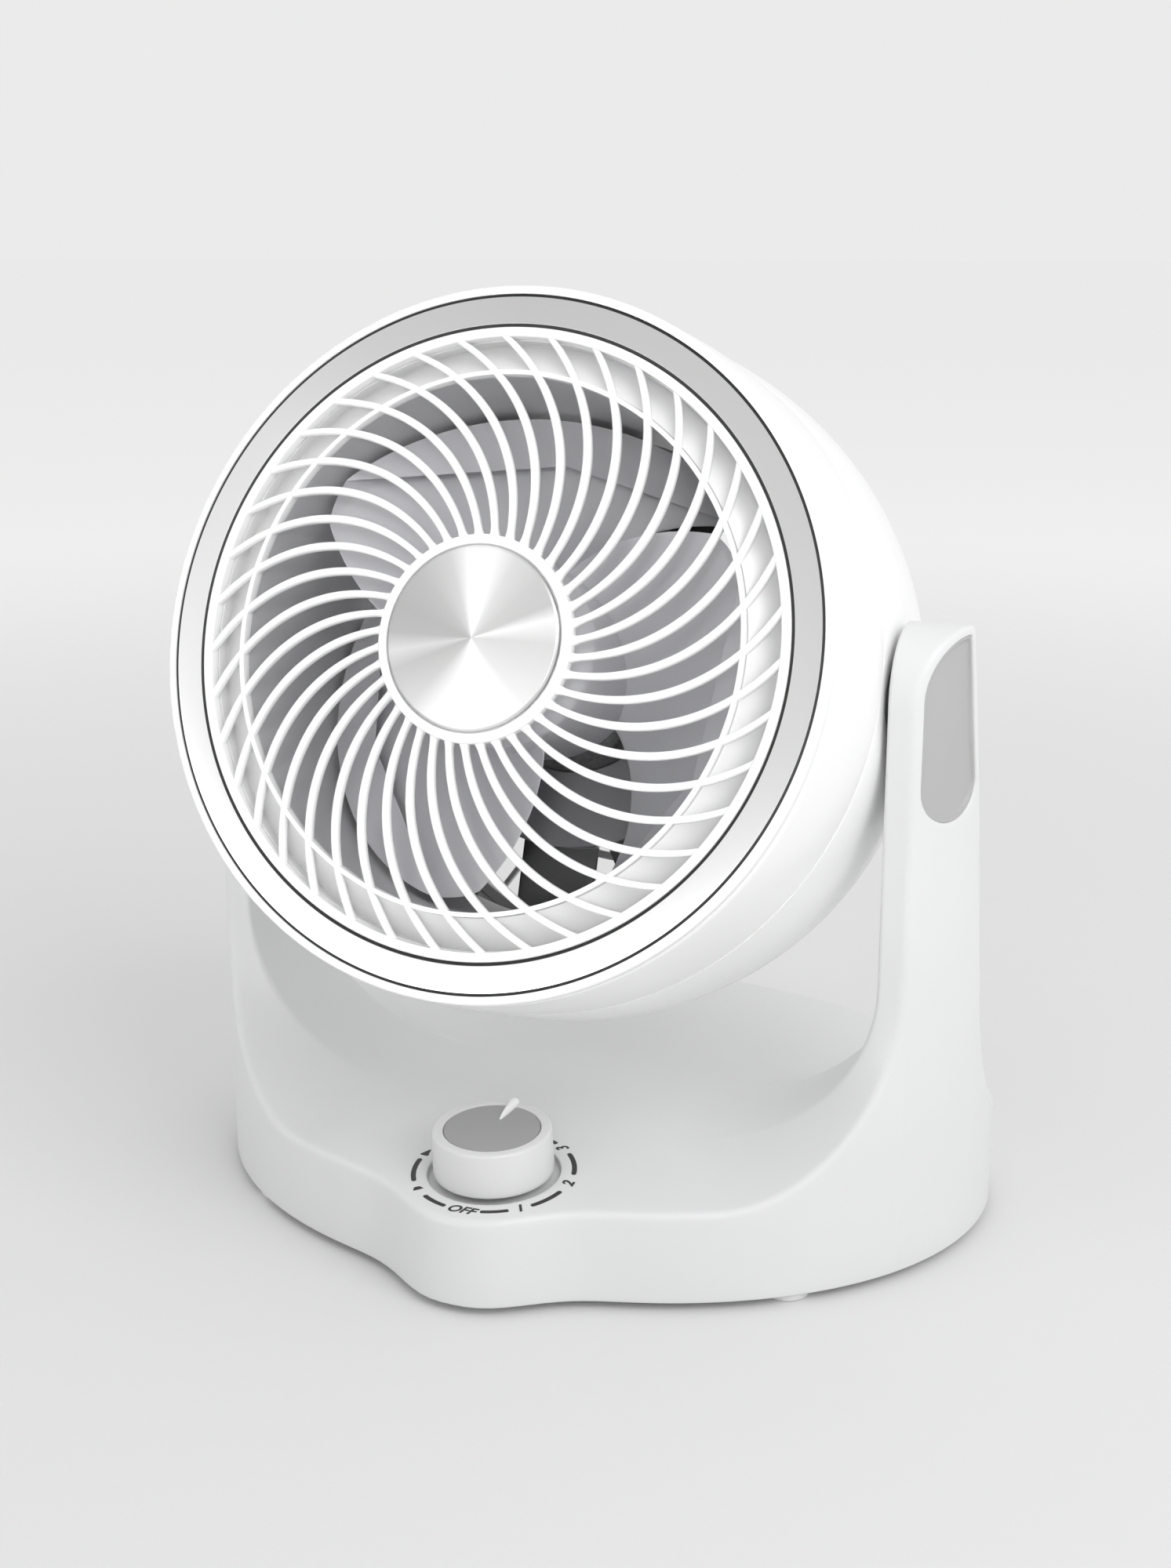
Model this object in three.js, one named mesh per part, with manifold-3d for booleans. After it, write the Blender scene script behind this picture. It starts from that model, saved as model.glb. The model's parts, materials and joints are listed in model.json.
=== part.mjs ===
// Air circulator fan. A drum-shaped head with a spiral grille tilts between the two arms of a
// U-shaped base, and a knob on the front of the base sets the speed.
// Millimetres. +Z is up, +X is to the right of someone who faces the fan, and the air blows towards -Y.
// The origin is on the ground, in the middle of the object's length and width.
import * as THREE from 'three';
import { mergeVertices } from 'three/addons/utils/BufferGeometryUtils.js';
import Module from 'manifold-3d';

const wasm = await Module();
wasm.setup();

// ---------------------------------------------------------------- driving dimensions

const gap = 0.3; // between two pieces that touch

// The base, seen from above: an oval, with a round bulge in front for the knob.
const baseHalfWidth = 149;
const baseFrontDepth = 120.6; // from the widest line to the front of the oval
const baseRearDepth = 102; // and to its rear
const bulgeStand = 15.7; // how far the bulge stands out of the oval
const bulgeSpread = 27.2;
const baseWall = 3;
const footHeight = 3;
const footRadius = 8;

// The base, seen from the front: a deck that sweeps up into the two arms.
const deckHeight = 40;
const ledgeFrontHeight = 35.5; // of the ledge where it meets the oval's front
const deckThickness = 3.2;
const innerSweepWidth = 75; // the sweep from the deck to the arm's inner face
const innerSweepHeight = 65;
const frontSweepWidth = 50; // the sweep of the outer rim, in front of the arm
const rearSweepDepth = 38; // and behind it
const rimHeight = 103; // where the outer rim turns upright
const armOverhang = 28.6; // from an arm's inner face out to the base's widest point
const armHalfGap = baseHalfWidth - armOverhang; // from the middle to the inner face of an arm
const armForward = 59; // from the widest line to the arm's front face
const pivotHeight = 200.6;
const armAbovePivot = 24.4;
const armTop = pivotHeight + armAbovePivot;
const armFrontCorner = 23; // radii of the arm's two upper corners, seen from the side
const armRearCorner = 3.5;
const armTopDepth = 25.5; // front to rear, at the top
const armRearLean = 0.13; // of the rear edge, per millimetre of height
const armPocketHeight = 150;

// The pivot of the head in the arms.
const pivotBehindFront = 15.5; // from the arm's front face to the pivot
const pivotForward = armForward - pivotBehindFront;
const armClearance = 1.8; // between an arm and the flat on the drum's side
const pivotFlat = armHalfGap - armClearance; // from the middle to that flat
const pivotBoltRadius = 4;
const pivotBoltHeadRadius = 8;
const pivotBoltHeadThickness = 3.2;
const pivotBushingWall = 2.2;
const pivotBossRadius = 10;
const pivotBossLength = 14;
const pivotWasherRadius = 12;
const pivotNutThickness = 5;
const pivotNutRadius = 7.5;
const pivotSeatDepth = 5.6; // from the arm's inner face out to the underside of the bolt's head
const pivotBoltSeat = armHalfGap + pivotSeatDepth;
const recessMargin = 2.6; // from the arm's edge to the recess in its outer side
const recessDepth = 2.4;
const recessBelowPivot = 40.6;
const recessBottom = pivotHeight - recessBelowPivot;
const recessEndHeight = 13; // of its round lower end
const coverSink = 0.7; // of the cover below the arm's surface

// The knob and the switch below it.
const knobBehindFront = 34.3; // from the front of the bulge to the knob's axis
const knobForward = baseFrontDepth + bulgeStand - knobBehindFront;
const knobRadius = 20.8;
const knobBottom = 2.2; // above the ledge
const knobTop = 16.7;
const knobWall = 3;
const knobPocketGap = 2.1; // round the knob
const knobPocketRadius = knobRadius + knobPocketGap;
const knobPocketDepth = 2.3;
const knobRimWidth = 4.3; // round the insert
const insertRadius = knobRadius - knobRimWidth;
const insertThickness = 0.9;
const pointerLength = 14.5;
const pointerWidth = 2.2;
const pointerRise = 1.6;
const switchShaftRadius = 3;
const switchWidth = 26;
const switchDepth = 13;
const switchNutRadius = 8;

// What lies in the base.
const capacitorLength = 38;
const capacitorWidth = 20;
const capacitorLeft = 70; // from the middle to its outer end
const capacitorForward = 20; // from the widest line to its middle
const capacitorClearance = 6; // below the deck
const terminalLength = 36;
const terminalWidth = 16;
const terminalHeight = 11;
const terminalRight = 22; // from the middle to its inner end
const terminalBack = 40; // behind the widest line
const terminalPitch = 12;
const terminalWellRadius = 3;
const inletRadius = 6;
const inletWall = 2;
const inletFlange = 2.5;
const baseScrewLength = 14;
const bossRadius = 4.5; // of the posts that the screws go into

// Insets of the base's screws and feet from its widest points, its front and its rear.
const frontScrewInset = 45;
const frontScrewBehindFront = 84.6;
const rearScrewInset = 57;
const rearScrewBeforeRear = 50;
const frontFootInset = 51;
const frontFootBehindFront = 41.6;
const rearFootInset = 65;
const rearFootBeforeRear = 36;

// The head. Its own axis is the fan's axis, and its heights are measured forwards from the ring's face.
const headTilt = 18.5; // degrees, upwards
const ringForward = 67; // from the pivot to the ring's face
const pivotFlatDepth = 3; // how far the flats are cut into the drum
const drumMaxRadius = pivotFlat + pivotFlatDepth;
const drumMaxDepth = 84;
const drumSeamInset = 2.7; // of the drum's surface at the seam, from its widest circle
const drumSeamRadius = drumMaxRadius - drumSeamInset;
const drumSeamDepth = 48.6;
const drumFrontInset = 6.3;
const drumFrontRadius = drumMaxRadius - drumFrontInset;
const drumRearInset = 21.6;
const drumRearRadius = drumMaxRadius - drumRearInset;
const drumRearDepth = 146;
const lipInset = 0.1; // of the lip from the drum's front edge
const lipOuter = drumFrontRadius - lipInset;
const lipWidth = 2.7;
const lipInner = lipOuter - lipWidth;
const trimGap = 1; // the dark line on each side of the bright ring
const trimOuter = lipInner - trimGap;
const trimWidth = 8.8;
const trimInner = trimOuter - trimWidth;
const rimOuter = trimInner - trimGap;
const rimWidth = 3.1;
const rimInner = rimOuter - rimWidth;
const trimThickness = 4;
const drumRearFullness = 1.8; // the exponent of the rear curve: more makes it squarer
const drumWall = 2.6;

// The grille.
const ribCount = 39;
const ribWidth = 2.2;
const ribExtraWidth = 0.8; // at half its length
const ribDepth = 3.4;
const ribHubHeight = 5.2; // of the ribs' front edges at the hub, above the ring's face
const ribSlope = 0.083; // fall of the ribs' front edges, per millimetre outwards
const ribSweep = 0.345; // degrees per millimetre outwards
const ribSweepGrowth = 0.0027;
const ribStart = 3.4; // degrees, of the first rib where it leaves the hub
const hubRadius = 33.4;
const badgeRadius = 29.8;
const badgeThickness = 2;
const shroudDepth = 9; // from the trim ring's seat back to the white plate round the throat
const shroudWidth = 12.6; // from the throat's ring out to the rim
const shroudEdge = 3.6; // of the white plate's outer edge, above its back
const shroudPlate = 2; // thickness of its back
const trimSeat = 3; // thickness of the shell behind the bright ring
const throatRadius = rimInner - shroudWidth;
const throatRingWall = 1.6;
const throatClearance = 0.4; // between the throat's ring and the white plate

// The duct, the impeller and the motor.
const ductWall = 2.2;
const ductClearance = 0.3; // of its bore round the throat
const ductRearDepth = 84;
const ductFlangeWidth = 8;
const bladeCount = 3;
const bladeTipClearance = 2.6;
const bladeThickness = 1.8;
const bladeFrontDepth = 25; // of a blade's front edge at the hub
const bladeTipForward = 8; // how much further forward it lies at the tip
const bladeRearDepth = 60; // of its rear edge at the hub
const bladeTipRearward = 20; // how much further back that lies at the tip
const bladeFall = 1.2; // exponent of its fall from the front edge: more makes the front steeper
const bladeFrontTurn = 59; // degrees: where a blade's front edge leaves the hub, and its sweep to the tip
const bladeFrontSweep = 30;
const bladeCornerSweep = 8; // and what the rounded corner at the tip adds
const bladeRearTurn = -37; // and its rear edge
const bladeRearSweep = 43;
const impellerFrontDepth = 11;
const impellerHubRadius = 32.2;
const shaftRadius = 4;
const lockNutRadius = 8;
const lockNutThickness = 5;
const motorRadius = 34;
const motorFrontDepth = 64;
const motorRearDepth = 122;
const motorWall = 2.5;
const bearingRadius = 9;
const bearingThickness = 7;
const statorThickness = 22;
const rotorCoreRadius = 18;
const airGap = 0.8; // between the rotor's core and the stator
const slotCount = 12;
const slotWidth = 3.2;
const vaneCount = 12;
const vaneThickness = 2.4;
const bracketThickness = 3;
const bracketRingWall = 3.4;
const bracketDishRadius = 61; // of the closed disc behind the impeller
const motorSides = 24;
const rearRibCount = 18;
const rearPlateRadius = 26;
const rearRingRadius = 60;
const rearDome = 8; // how far the rear grille bulges backwards

// Screws.
const screwRadius = 1.5;
const screwHeadRadius = 3.2;
const screwHeadThickness = 2;
const shellScrewTurn = 45; // degrees, of the first of the four screws that join the drum's halves
const shellScrewLength = 16;
const ductScrewTurn = 20; // and of those that hold the duct and the motor's bracket
const ductScrewLength = 7;
const bracketScrewLength = 10;

// ---------------------------------------------------------------- sizes that follow from them

const round = 40; // sides of the large round pieces
const small = 12; // sides of the small ones
const degree = Math.PI / 180;
const pivotY = -pivotForward;
const armFront = -armForward;
const armRear = (z) => armFront + armTopDepth + (armTop - armRearCorner - z) * armRearLean;
const ledgeSlope = (deckHeight - ledgeFrontHeight) / (baseFrontDepth + armFront);
const ledgeTilt = Math.atan(ledgeSlope);
const knobY = -knobForward;
const knobPlane = deckHeight - (armFront - knobY) * ledgeSlope;
const cavityTop = ledgeFrontHeight - bulgeStand * ledgeSlope - deckThickness;
const plateBottom = footHeight + gap;
const plateTop = plateBottom + baseWall;
const flangeFace = -trimThickness - gap; // the front shell's face behind the trim ring
const ringY = pivotY - ringForward * Math.cos(headTilt * degree);
const ringZ = pivotHeight + ringForward * Math.sin(headTilt * degree);
const foremost = ringY - lipInner * Math.sin(headTilt * degree) - gap * Math.cos(headTilt * degree);
const middleY = (foremost + baseRearDepth) / 2;
const boreGap = 0.3;
const boreRadius = screwRadius + boreGap; // of a hole for a screw
const running = 0.05; // between a shaft and the bore that it turns in
const shaftSides = 24;
const turningBore = (radius) => (radius + running) / Math.cos(Math.PI / shaftSides);

// ---------------------------------------------------------------- materials

const plastic = (color, roughness) => new THREE.MeshStandardMaterial({ color, roughness, metalness: 0 });
const metal = (color, roughness) => new THREE.MeshStandardMaterial({ color, roughness, metalness: 1 });
const whiteGloss = () => plastic(0xf6f7f7, 0.25);
const whiteSatin = () => plastic(0xeff1f1, 0.4);
const grey = () => plastic(0xa2a1a6, 0.45);
const coverGrey = () => plastic(0xbdbebf, 0.5);
const darkPlastic = () => plastic(0x2b2c2e, 0.6);
const rubber = () => plastic(0xe2e2e0, 0.8);
const chrome = () => metal(0xd4d5d7, 0.2);
const spunAluminium = () => metal(0xdcdcdb, 0.3);
const steel = () => metal(0x9b9da0, 0.35);
const castAluminium = () => metal(0xa9abae, 0.5);

// ---------------------------------------------------------------- solids

/** A closed solid of a geometry's triangles, with its vertices merged and its faces pointing out. */
function solidOf(geometry) {
  const plain = new THREE.BufferGeometry();
  plain.setAttribute('position', geometry.getAttribute('position').clone());
  plain.setIndex(geometry.index);
  const merged = mergeVertices(plain, 1e-4);
  const position = merged.getAttribute('position');
  const index = merged.index.array;
  const corners = [new THREE.Vector3(), new THREE.Vector3(), new THREE.Vector3()];
  const kept = [];
  let volume = 0;
  for (let i = 0; i < index.length; i += 3) {
    const [a, b, c] = [index[i], index[i + 1], index[i + 2]];
    if (a === b || b === c || c === a) continue;
    kept.push(a, b, c);
    [a, b, c].forEach((vertex, k) => corners[k].fromBufferAttribute(position, vertex));
    volume += corners[0].dot(corners[1].cross(corners[2]));
  }
  if (volume < 0) kept.reverse();
  const vertProperties = new Float32Array(position.array);
  return new wasm.Manifold(new wasm.Mesh({ numProp: 3, vertProperties, triVerts: new Uint32Array(kept) }));
}

/** The triangles of a solid, as a geometry. */
function geometryOf(solid) {
  const mesh = solid.getMesh();
  const geometry = new THREE.BufferGeometry();
  geometry.setAttribute('position', new THREE.BufferAttribute(new Float32Array(mesh.vertProperties), 3));
  geometry.setIndex(new THREE.BufferAttribute(new Uint32Array(mesh.triVerts), 1));
  return geometry;
}

const fold = (first, others, step) => geometryOf(others.flat().reduce(
  (body, other) => step(body, solidOf(other)), solidOf(first)));
const join = (first, ...others) => fold(first, others, (body, other) => body.add(other));
const cut = (first, ...others) => fold(first, others, (body, other) => body.subtract(other));
const common = (first, ...others) => fold(first, others, (body, other) => body.intersect(other));

/** A solid of revolution about Z. The profile is a list of [radius, height]. */
function revolve(profile, sides = round) {
  const points = profile.map(([radius, height]) => new THREE.Vector2(radius, height));
  const closed = profile[0][0] === 0 && profile[profile.length - 1][0] === 0;
  if (!closed) points.push(points[0].clone());
  return new THREE.LatheGeometry(points, sides).rotateX(Math.PI / 2);
}

/** A round bar along Z, from one height to another. */
function bar(radius, from, to, sides = small) {
  return revolve([[0, from], [radius, from], [radius, to], [0, to]], sides);
}

/** A ring along Z. */
function ring(inner, outer, from, to, sides = round) {
  return revolve([[inner, from], [outer, from], [outer, to], [inner, to]], sides);
}

/** A box from its lowest to its highest corner. */
function box(low, high) {
  const [x, y, z] = low.map((value, k) => high[k] - value);
  return new THREE.BoxGeometry(x, y, z).translate(low[0] + x / 2, low[1] + y / 2, low[2] + z / 2);
}

/** A flat outline, given as [x, y] points, raised from one height to another. */
function prism(points, from, to) {
  const shape = new THREE.Shape(points.map(([x, y]) => new THREE.Vector2(x, y)));
  return new THREE.ExtrudeGeometry(shape, { depth: to - from, bevelEnabled: false }).translate(0, 0, from);
}

/** A solid through rings of equally many points, closed at each end by a fan, or across if they are thin. */
function loft(rings, thin = false) {
  const count = rings[0].length;
  const points = rings.flat();
  const index = [];
  for (let i = 0; i + 1 < rings.length; i += 1) {
    for (let j = 0; j < count; j += 1) {
      const [a, b] = [i * count + j, i * count + ((j + 1) % count)];
      index.push(a, b, b + count, a, b + count, a + count);
    }
  }
  for (const end of [0, rings.length - 1]) {
    const face = (a, b, c) => index.push(...(end === 0 ? [b, a, c] : [a, b, c]));
    const middle = [0, 1, 2].map((k) => rings[end].reduce((sum, point) => sum + point[k], 0) / count);
    if (!thin) points.push(middle);
    for (let j = 0; j < (thin ? count / 2 - 1 : count); j += 1) {
      const [a, b] = [end * count + j, end * count + ((j + 1) % count)];
      if (thin) {
        const [c, d] = [end * count + count - 2 - j, end * count + count - 1 - j];
        face(a, b, c);
        face(a, c, d);
      } else {
        face(a, b, points.length - 1);
      }
    }
  }
  const geometry = new THREE.BufferGeometry();
  geometry.setAttribute('position', new THREE.BufferAttribute(new Float32Array(points.flat()), 3));
  geometry.setIndex(index);
  return geometry;
}

/** The same solid at equal angles round Z. */
function around(count, make, start = 0) {
  return Array.from({ length: count }, (_, k) => make(k).rotateZ((start + (360 * k) / count) * degree));
}

/** Lays a solid that was made along Z onto the X axis, pointing to +X. */
const alongX = (geometry) => geometry.rotateY(Math.PI / 2);

const root = new THREE.Group();
root.position.y = -middleY;

/** Adds a named piece to a group. */
function add(group, name, geometry, material) {
  const mesh = new THREE.Mesh(geometryOf(solidOf(geometry)), material);
  mesh.name = name;
  group.add(mesh);
  return mesh;
}

/** A pan-head screw along -Z: its head's top is at 0 and its tip at minus its length. */
function screw(length) {
  return revolve([[0, 0], [screwHeadRadius, 0], [screwHeadRadius, -screwHeadThickness],
    [screwRadius, -screwHeadThickness], [screwRadius, -length], [0, -length]], 10);
}

// ---------------------------------------------------------------- base

/** Depth of the oval in front of, or behind, its widest line at a distance from the middle. */
const ovalDepth = (x, halfWidth, depth) => depth * Math.sqrt(Math.max(0, 1 - (x / halfWidth) ** 2));
const bulge = (x) => bulgeStand * Math.exp(-((Math.abs(x) / bulgeSpread) ** 2.6));

/** Distance from the middle to the oval's outer wall at a distance behind the widest line. */
function wallHalfWidth(y) {
  const depth = y < 0 ? baseFrontDepth : baseRearDepth;
  return baseHalfWidth * Math.sqrt(Math.max(0, 1 - (y / depth) ** 2));
}

/** The base's outline seen from above, drawn in by an inset. */
function footprint(inset) {
  const halfWidth = baseHalfWidth - inset;
  const bulgeReach = 2.2 * bulgeSpread;
  const reach = Math.acos(bulgeReach / halfWidth);
  const across = [];
  for (let k = 0; k < 9; k += 1) across.push(-halfWidth * Math.cos((reach * k) / 9));
  for (let k = 0; k <= 20; k += 1) across.push(bulgeReach * (k / 10 - 1));
  for (let k = 8; k >= 0; k -= 1) across.push(halfWidth * Math.cos((reach * k) / 9));
  const front = across.map((x) => [x, -ovalDepth(x, halfWidth, baseFrontDepth - inset) - bulge(x)]);
  const rear = Array.from({ length: 23 }, (_, k) => {
    const angle = (Math.PI * (k + 1)) / 24;
    return [halfWidth * Math.cos(angle), (baseRearDepth - inset) * Math.sin(angle)];
  });
  return [...front, ...rear];
}

const sweepSteps = 9;
const cutTop = armTop + 20;
const reachOut = baseHalfWidth * 2;

/**
 * Half of a U, seen from the front, from the middle of its floor to the top of its side: a flat
 * floor, a quarter of an oval, and an upright side. Its points are [x, z].
 */
function halfU(halfWidth, floor, width, height) {
  const points = [[0, floor], [(halfWidth - width) / 2, floor]];
  for (let k = 0; k <= sweepSteps; k += 1) {
    const angle = (Math.PI / 2) * (1 - k / sweepSteps);
    points.push([halfWidth - width + width * Math.cos(angle), floor + height * (1 - Math.sin(angle))]);
  }
  points.push([halfWidth, pivotHeight], [halfWidth, cutTop]);
  return points;
}

/** Both halves of a curve whose points begin with x, from the top of its left side to its right. */
const wholeU = (half) => [...half.slice(1).reverse().map(([x, ...rest]) => [-x, ...rest]), ...half];

/** Half of the U between the arms. */
const innerHalf = () => halfU(armHalfGap, deckHeight, innerSweepWidth, innerSweepHeight);

/** The space between the arms, from front to rear. */
function channelCutter() {
  const outline = wholeU(innerHalf());
  return loft([-reachOut, reachOut].map((y) => outline.map(([x, z]) => [x, y, z])));
}

/** Half of the rim on the outer wall in front of the arms: a U wrapped onto the oval. */
function frontRim() {
  const halfWidth = wallHalfWidth(armFront);
  return halfU(halfWidth, ledgeFrontHeight, frontSweepWidth, rimHeight - ledgeFrontHeight)
    .map(([x, z], k) => [x, k < sweepSteps + 2 ? -ovalDepth(x, baseHalfWidth, baseFrontDepth) : armFront,
      z]);
}

/** Half of the rim behind the arms: level round the rear, then a sweep up the arm's rear edge. */
function rearRim() {
  const start = armRear(rimHeight);
  const rim = [];
  for (let k = 0; k <= sweepSteps; k += 1) {
    const angle = (Math.PI / 2) * (1 - k / sweepSteps);
    const y = start + rearSweepDepth * (1 - Math.cos(angle));
    rim.push([wallHalfWidth(y), y, deckHeight + (rimHeight - deckHeight) * (1 - Math.sin(angle))]);
  }
  const between = (baseRearDepth + rim[0][1]) / 2;
  const upright = [pivotHeight, cutTop].map((z) => [wallHalfWidth(armRear(z)), armRear(z), z]);
  return [[0, baseRearDepth, deckHeight], [wallHalfWidth(between), between, deckHeight], ...rim, ...upright];
}

/**
 * What is cut away in front of the arms, or behind them: a surface of straight lines that runs from
 * the U between the arms out to the rim on the base's outer wall, and on past it.
 */
function ledgeCutter(front) {
  const past = 1.7; // the lines end this many lengths out
  const near = wholeU(innerHalf().map(([x, z]) => [x * 0.999, front ? armFront : armRear(z), z]));
  const rim = wholeU(front ? frontRim() : rearRim());
  const along = (value, start) => start + (value - start) * past;
  const far = rim.map((point, k) => point.map((value, axis) => along(value, near[k][axis])));
  const beyond = far.map(([x, y, z]) => [x * 1.4, y + (front ? -1 : 1) * baseHalfWidth, z]);
  return loft([near, far, beyond]);
}

/** A round bar across the base at the pivot, from one distance to another, on one side. */
function pivotBar(side, radius, from, to, sides = small) {
  const lying = alongX(bar(radius, from, to, sides));
  if (side < 0) lying.rotateZ(Math.PI);
  return lying.translate(0, pivotY, pivotHeight);
}

/** The arm seen from the side, as [y, z] points over the top from front to rear, drawn in by an inset. */
function armOver(inset) {
  const points = [];
  const frontCentre = armFront + armFrontCorner;
  for (let k = 0; k <= 7; k += 1) {
    const angle = (Math.PI / 14) * k;
    points.push([frontCentre - (armFrontCorner - inset) * Math.cos(angle),
      armTop - armFrontCorner + (armFrontCorner - inset) * Math.sin(angle)]);
  }
  const corner = Math.max(armRearCorner - inset, 0.2);
  const rearTop = armTop - inset - corner;
  for (let k = 1; k <= 3; k += 1) {
    const angle = (Math.PI / 6) * k;
    const back = armRear(rearTop) - inset - corner * (1 - Math.sin(angle));
    points.push([back, rearTop + corner * Math.cos(angle)]);
  }
  return points;
}

/** A solid with an outline of [y, z] points, from the middle outwards on one side. */
function sideways(points, side) {
  const solid = prism(points, 0, reachOut).rotateX(Math.PI / 2).rotateZ(Math.PI / 2);
  return side > 0 ? solid : geometryOf(solidOf(solid).mirror([1, 0, 0]));
}

/** The recess in the arm's outer side: it follows the arm's edge and has a round lower end. */
function recess(side, margin, depth) {
  const over = armOver(margin);
  const shoulder = recessBottom + recessEndHeight;
  const from = armFront + margin;
  const to = armRear(shoulder) - margin;
  const endHeight = recessEndHeight - margin + recessMargin;
  const below = Array.from({ length: 9 }, (_, k) => {
    const angle = (Math.PI * k) / 8;
    return [(from + to) / 2 + ((to - from) / 2) * Math.cos(angle), shoulder - endHeight * Math.sin(angle)];
  });
  return cut(sideways([...over, ...below], side), prism(footprint(depth), 0, cutTop));
}

/** Four places in the base: two in front and two behind, as far in from its outline as given. */
function fourPlaces(frontInset, behindFront, rearInset, beforeRear) {
  const front = [-1, 1].map((side) => [side * (baseHalfWidth - frontInset), behindFront - baseFrontDepth]);
  const rear = [-1, 1].map((side) => [side * (baseHalfWidth - rearInset), baseRearDepth - beforeRear]);
  return [...front, ...rear];
}
const screwBosses = fourPlaces(frontScrewInset, frontScrewBehindFront, rearScrewInset, rearScrewBeforeRear);
const feetPlaces = fourPlaces(frontFootInset, frontFootBehindFront, rearFootInset, rearFootBeforeRear);

/** What lies on the knob's axis, which stands square on the sloping ledge. */
const onLedge = (geometry) => geometry.rotateX(ledgeTilt).translate(0, knobY, knobPlane);

function baseShell() {
  const shoulder = armTop - armFrontCorner;
  const side = [[-reachOut, 0], [reachOut, 0], [reachOut, shoulder], [armRear(shoulder), shoulder],
    ...armOver(0).reverse(), [-reachOut, shoulder]];
  const sideView = join(sideways(side, 1), sideways(side, -1));
  const block = common(prism(footprint(0), footHeight, armTop + 1), sideView);
  const open = cut(block, channelCutter(), ledgeCutter(true), ledgeCutter(false));
  const cavity = prism(footprint(baseWall), 0, cavityTop);
  const hollow = cut(open, cavity, armPocket(1), armPocket(-1));
  const boss = () => ring(boreRadius, bossRadius, plateTop + gap, cavityTop + 1, small);
  const bosses = screwBosses.map(([x, y]) => boss().translate(x, y, 0));
  return cut(join(hollow, bosses), armHoles(1), armHoles(-1), knobPocket(), inletHole());
}

/** The hollow in an arm, open to the space below. */
function armPocket(side) {
  const inner = armHalfGap + baseWall;
  const low = [side > 0 ? inner : -reachOut, armFront + baseWall, 0];
  const high = [side > 0 ? reachOut : -inner, armRear(armPocketHeight) - baseWall, armPocketHeight];
  return common(prism(footprint(baseWall), 0, armPocketHeight), box(low, high));
}

/** The bore, the seat of the bolt's head and the cover's recess in an arm. */
function armHoles(side) {
  return [
    pivotBar(side, pivotBoltRadius + pivotBushingWall + 2 * boreGap, armHalfGap - 5, pivotBoltSeat + 1),
    pivotBar(side, pivotBoltHeadRadius + 1, pivotBoltSeat - 2 * gap, reachOut),
    recess(side, recessMargin, recessDepth),
  ];
}

/** The round recess under the knob, with the hole for the switch's neck. */
function knobPocket() {
  const pocket = bar(knobPocketRadius, -knobPocketDepth, 6, round);
  return onLedge(join(pocket, bar(switchNeckRadius + boreGap, -12, 0)));
}
const switchNeckRadius = switchShaftRadius + 1.8;

const inletHeight = (plateTop + cavityTop) / 2;

/** What lies on the cord inlet's axis, which runs outwards through the middle of the rear wall. */
const onInlet = (geometry) => geometry.rotateX(-Math.PI / 2).translate(0, baseRearDepth, inletHeight);
const inletHole = () => onInlet(bar(inletRadius + gap, -12, 5));

function bottomPlate() {
  const plate = prism(footprint(baseWall + gap), plateBottom, plateTop);
  const holes = screwBosses.flatMap(([x, y]) => [
    bar(boreRadius, 0, 20, small).translate(x, y, 0),
    bar(screwHeadRadius + gap, 0, plateBottom + screwHeadThickness, small).translate(x, y, 0),
  ]);
  return cut(plate, holes);
}

const base = new THREE.Group();
root.add(base);
add(base, 'base_shell', baseShell(), whiteSatin());
add(base, 'bottom_plate', bottomPlate(), whiteSatin());
feetPlaces.forEach(([x, y], k) => {
  const profile = [[0, 0], [footRadius - 1, 0], [footRadius, 1], [footRadius, footHeight], [0, footHeight]];
  const foot = revolve(profile, small);
  add(base, `foot_${k + 1}`, foot.translate(x, y, 0), rubber());
});
screwBosses.forEach(([x, y], k) => {
  const turned = screw(baseScrewLength).rotateX(Math.PI).translate(x, y, plateBottom - gap / 2);
  add(base, `base_screw_${k + 1}`, turned, steel());
});

/** The rotary switch: its box, and the neck that comes up through the ledge. */
function speedSwitch() {
  const top = -(knobPlane - cavityTop) - switchWidth * ledgeSlope;
  const half = switchWidth / 2;
  const body = box([-half, -half, top - switchDepth], [half, half, top]);
  const neck = bar(switchNeckRadius, top - 1, -0.5);
  const well = bar(turningBore(switchShaftRadius), top - switchDepth / 2, 5, shaftSides);
  return onLedge(cut(join(body, neck), well));
}

/** The nut that holds the switch's neck, in the recess under the knob. */
function switchNut() {
  const nut = bar(switchNutRadius, gap - knobPocketDepth, -0.5, 6);
  return onLedge(cut(nut, bar(switchNeckRadius + boreGap, -5, 5)));
}
add(base, 'speed_switch', speedSwitch(), darkPlastic());
add(base, 'switch_nut', switchNut(), steel());

const deckParts = plateTop + gap;
add(base, 'capacitor', capacitor(), darkPlastic());
add(base, 'terminal_block', terminalBlock(), whiteSatin());
add(base, 'cord_inlet', cordInlet(), darkPlastic());

/** The motor's capacitor, a block that stands on the bottom plate. */
function capacitor() {
  const front = -capacitorForward - capacitorWidth / 2;
  const low = [-capacitorLeft, front, deckParts];
  return box(low, [capacitorLength - capacitorLeft, front + capacitorWidth, cavityTop - capacitorClearance]);
}

/** A three-way terminal block: a bar with a well over each screw. */
function terminalBlock() {
  const front = terminalBack - terminalWidth / 2;
  const top = deckParts + terminalHeight;
  const end = terminalRight + terminalLength;
  const block = box([terminalRight, front, deckParts], [end, front + terminalWidth, top]);
  const middle = (terminalRight + end) / 2;
  return cut(block, [-1, 0, 1].map((k) => bar(terminalWellRadius, deckParts + terminalHeight / 2, top + 1)
    .translate(middle + terminalPitch * k, terminalBack, 0)));
}

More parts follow.
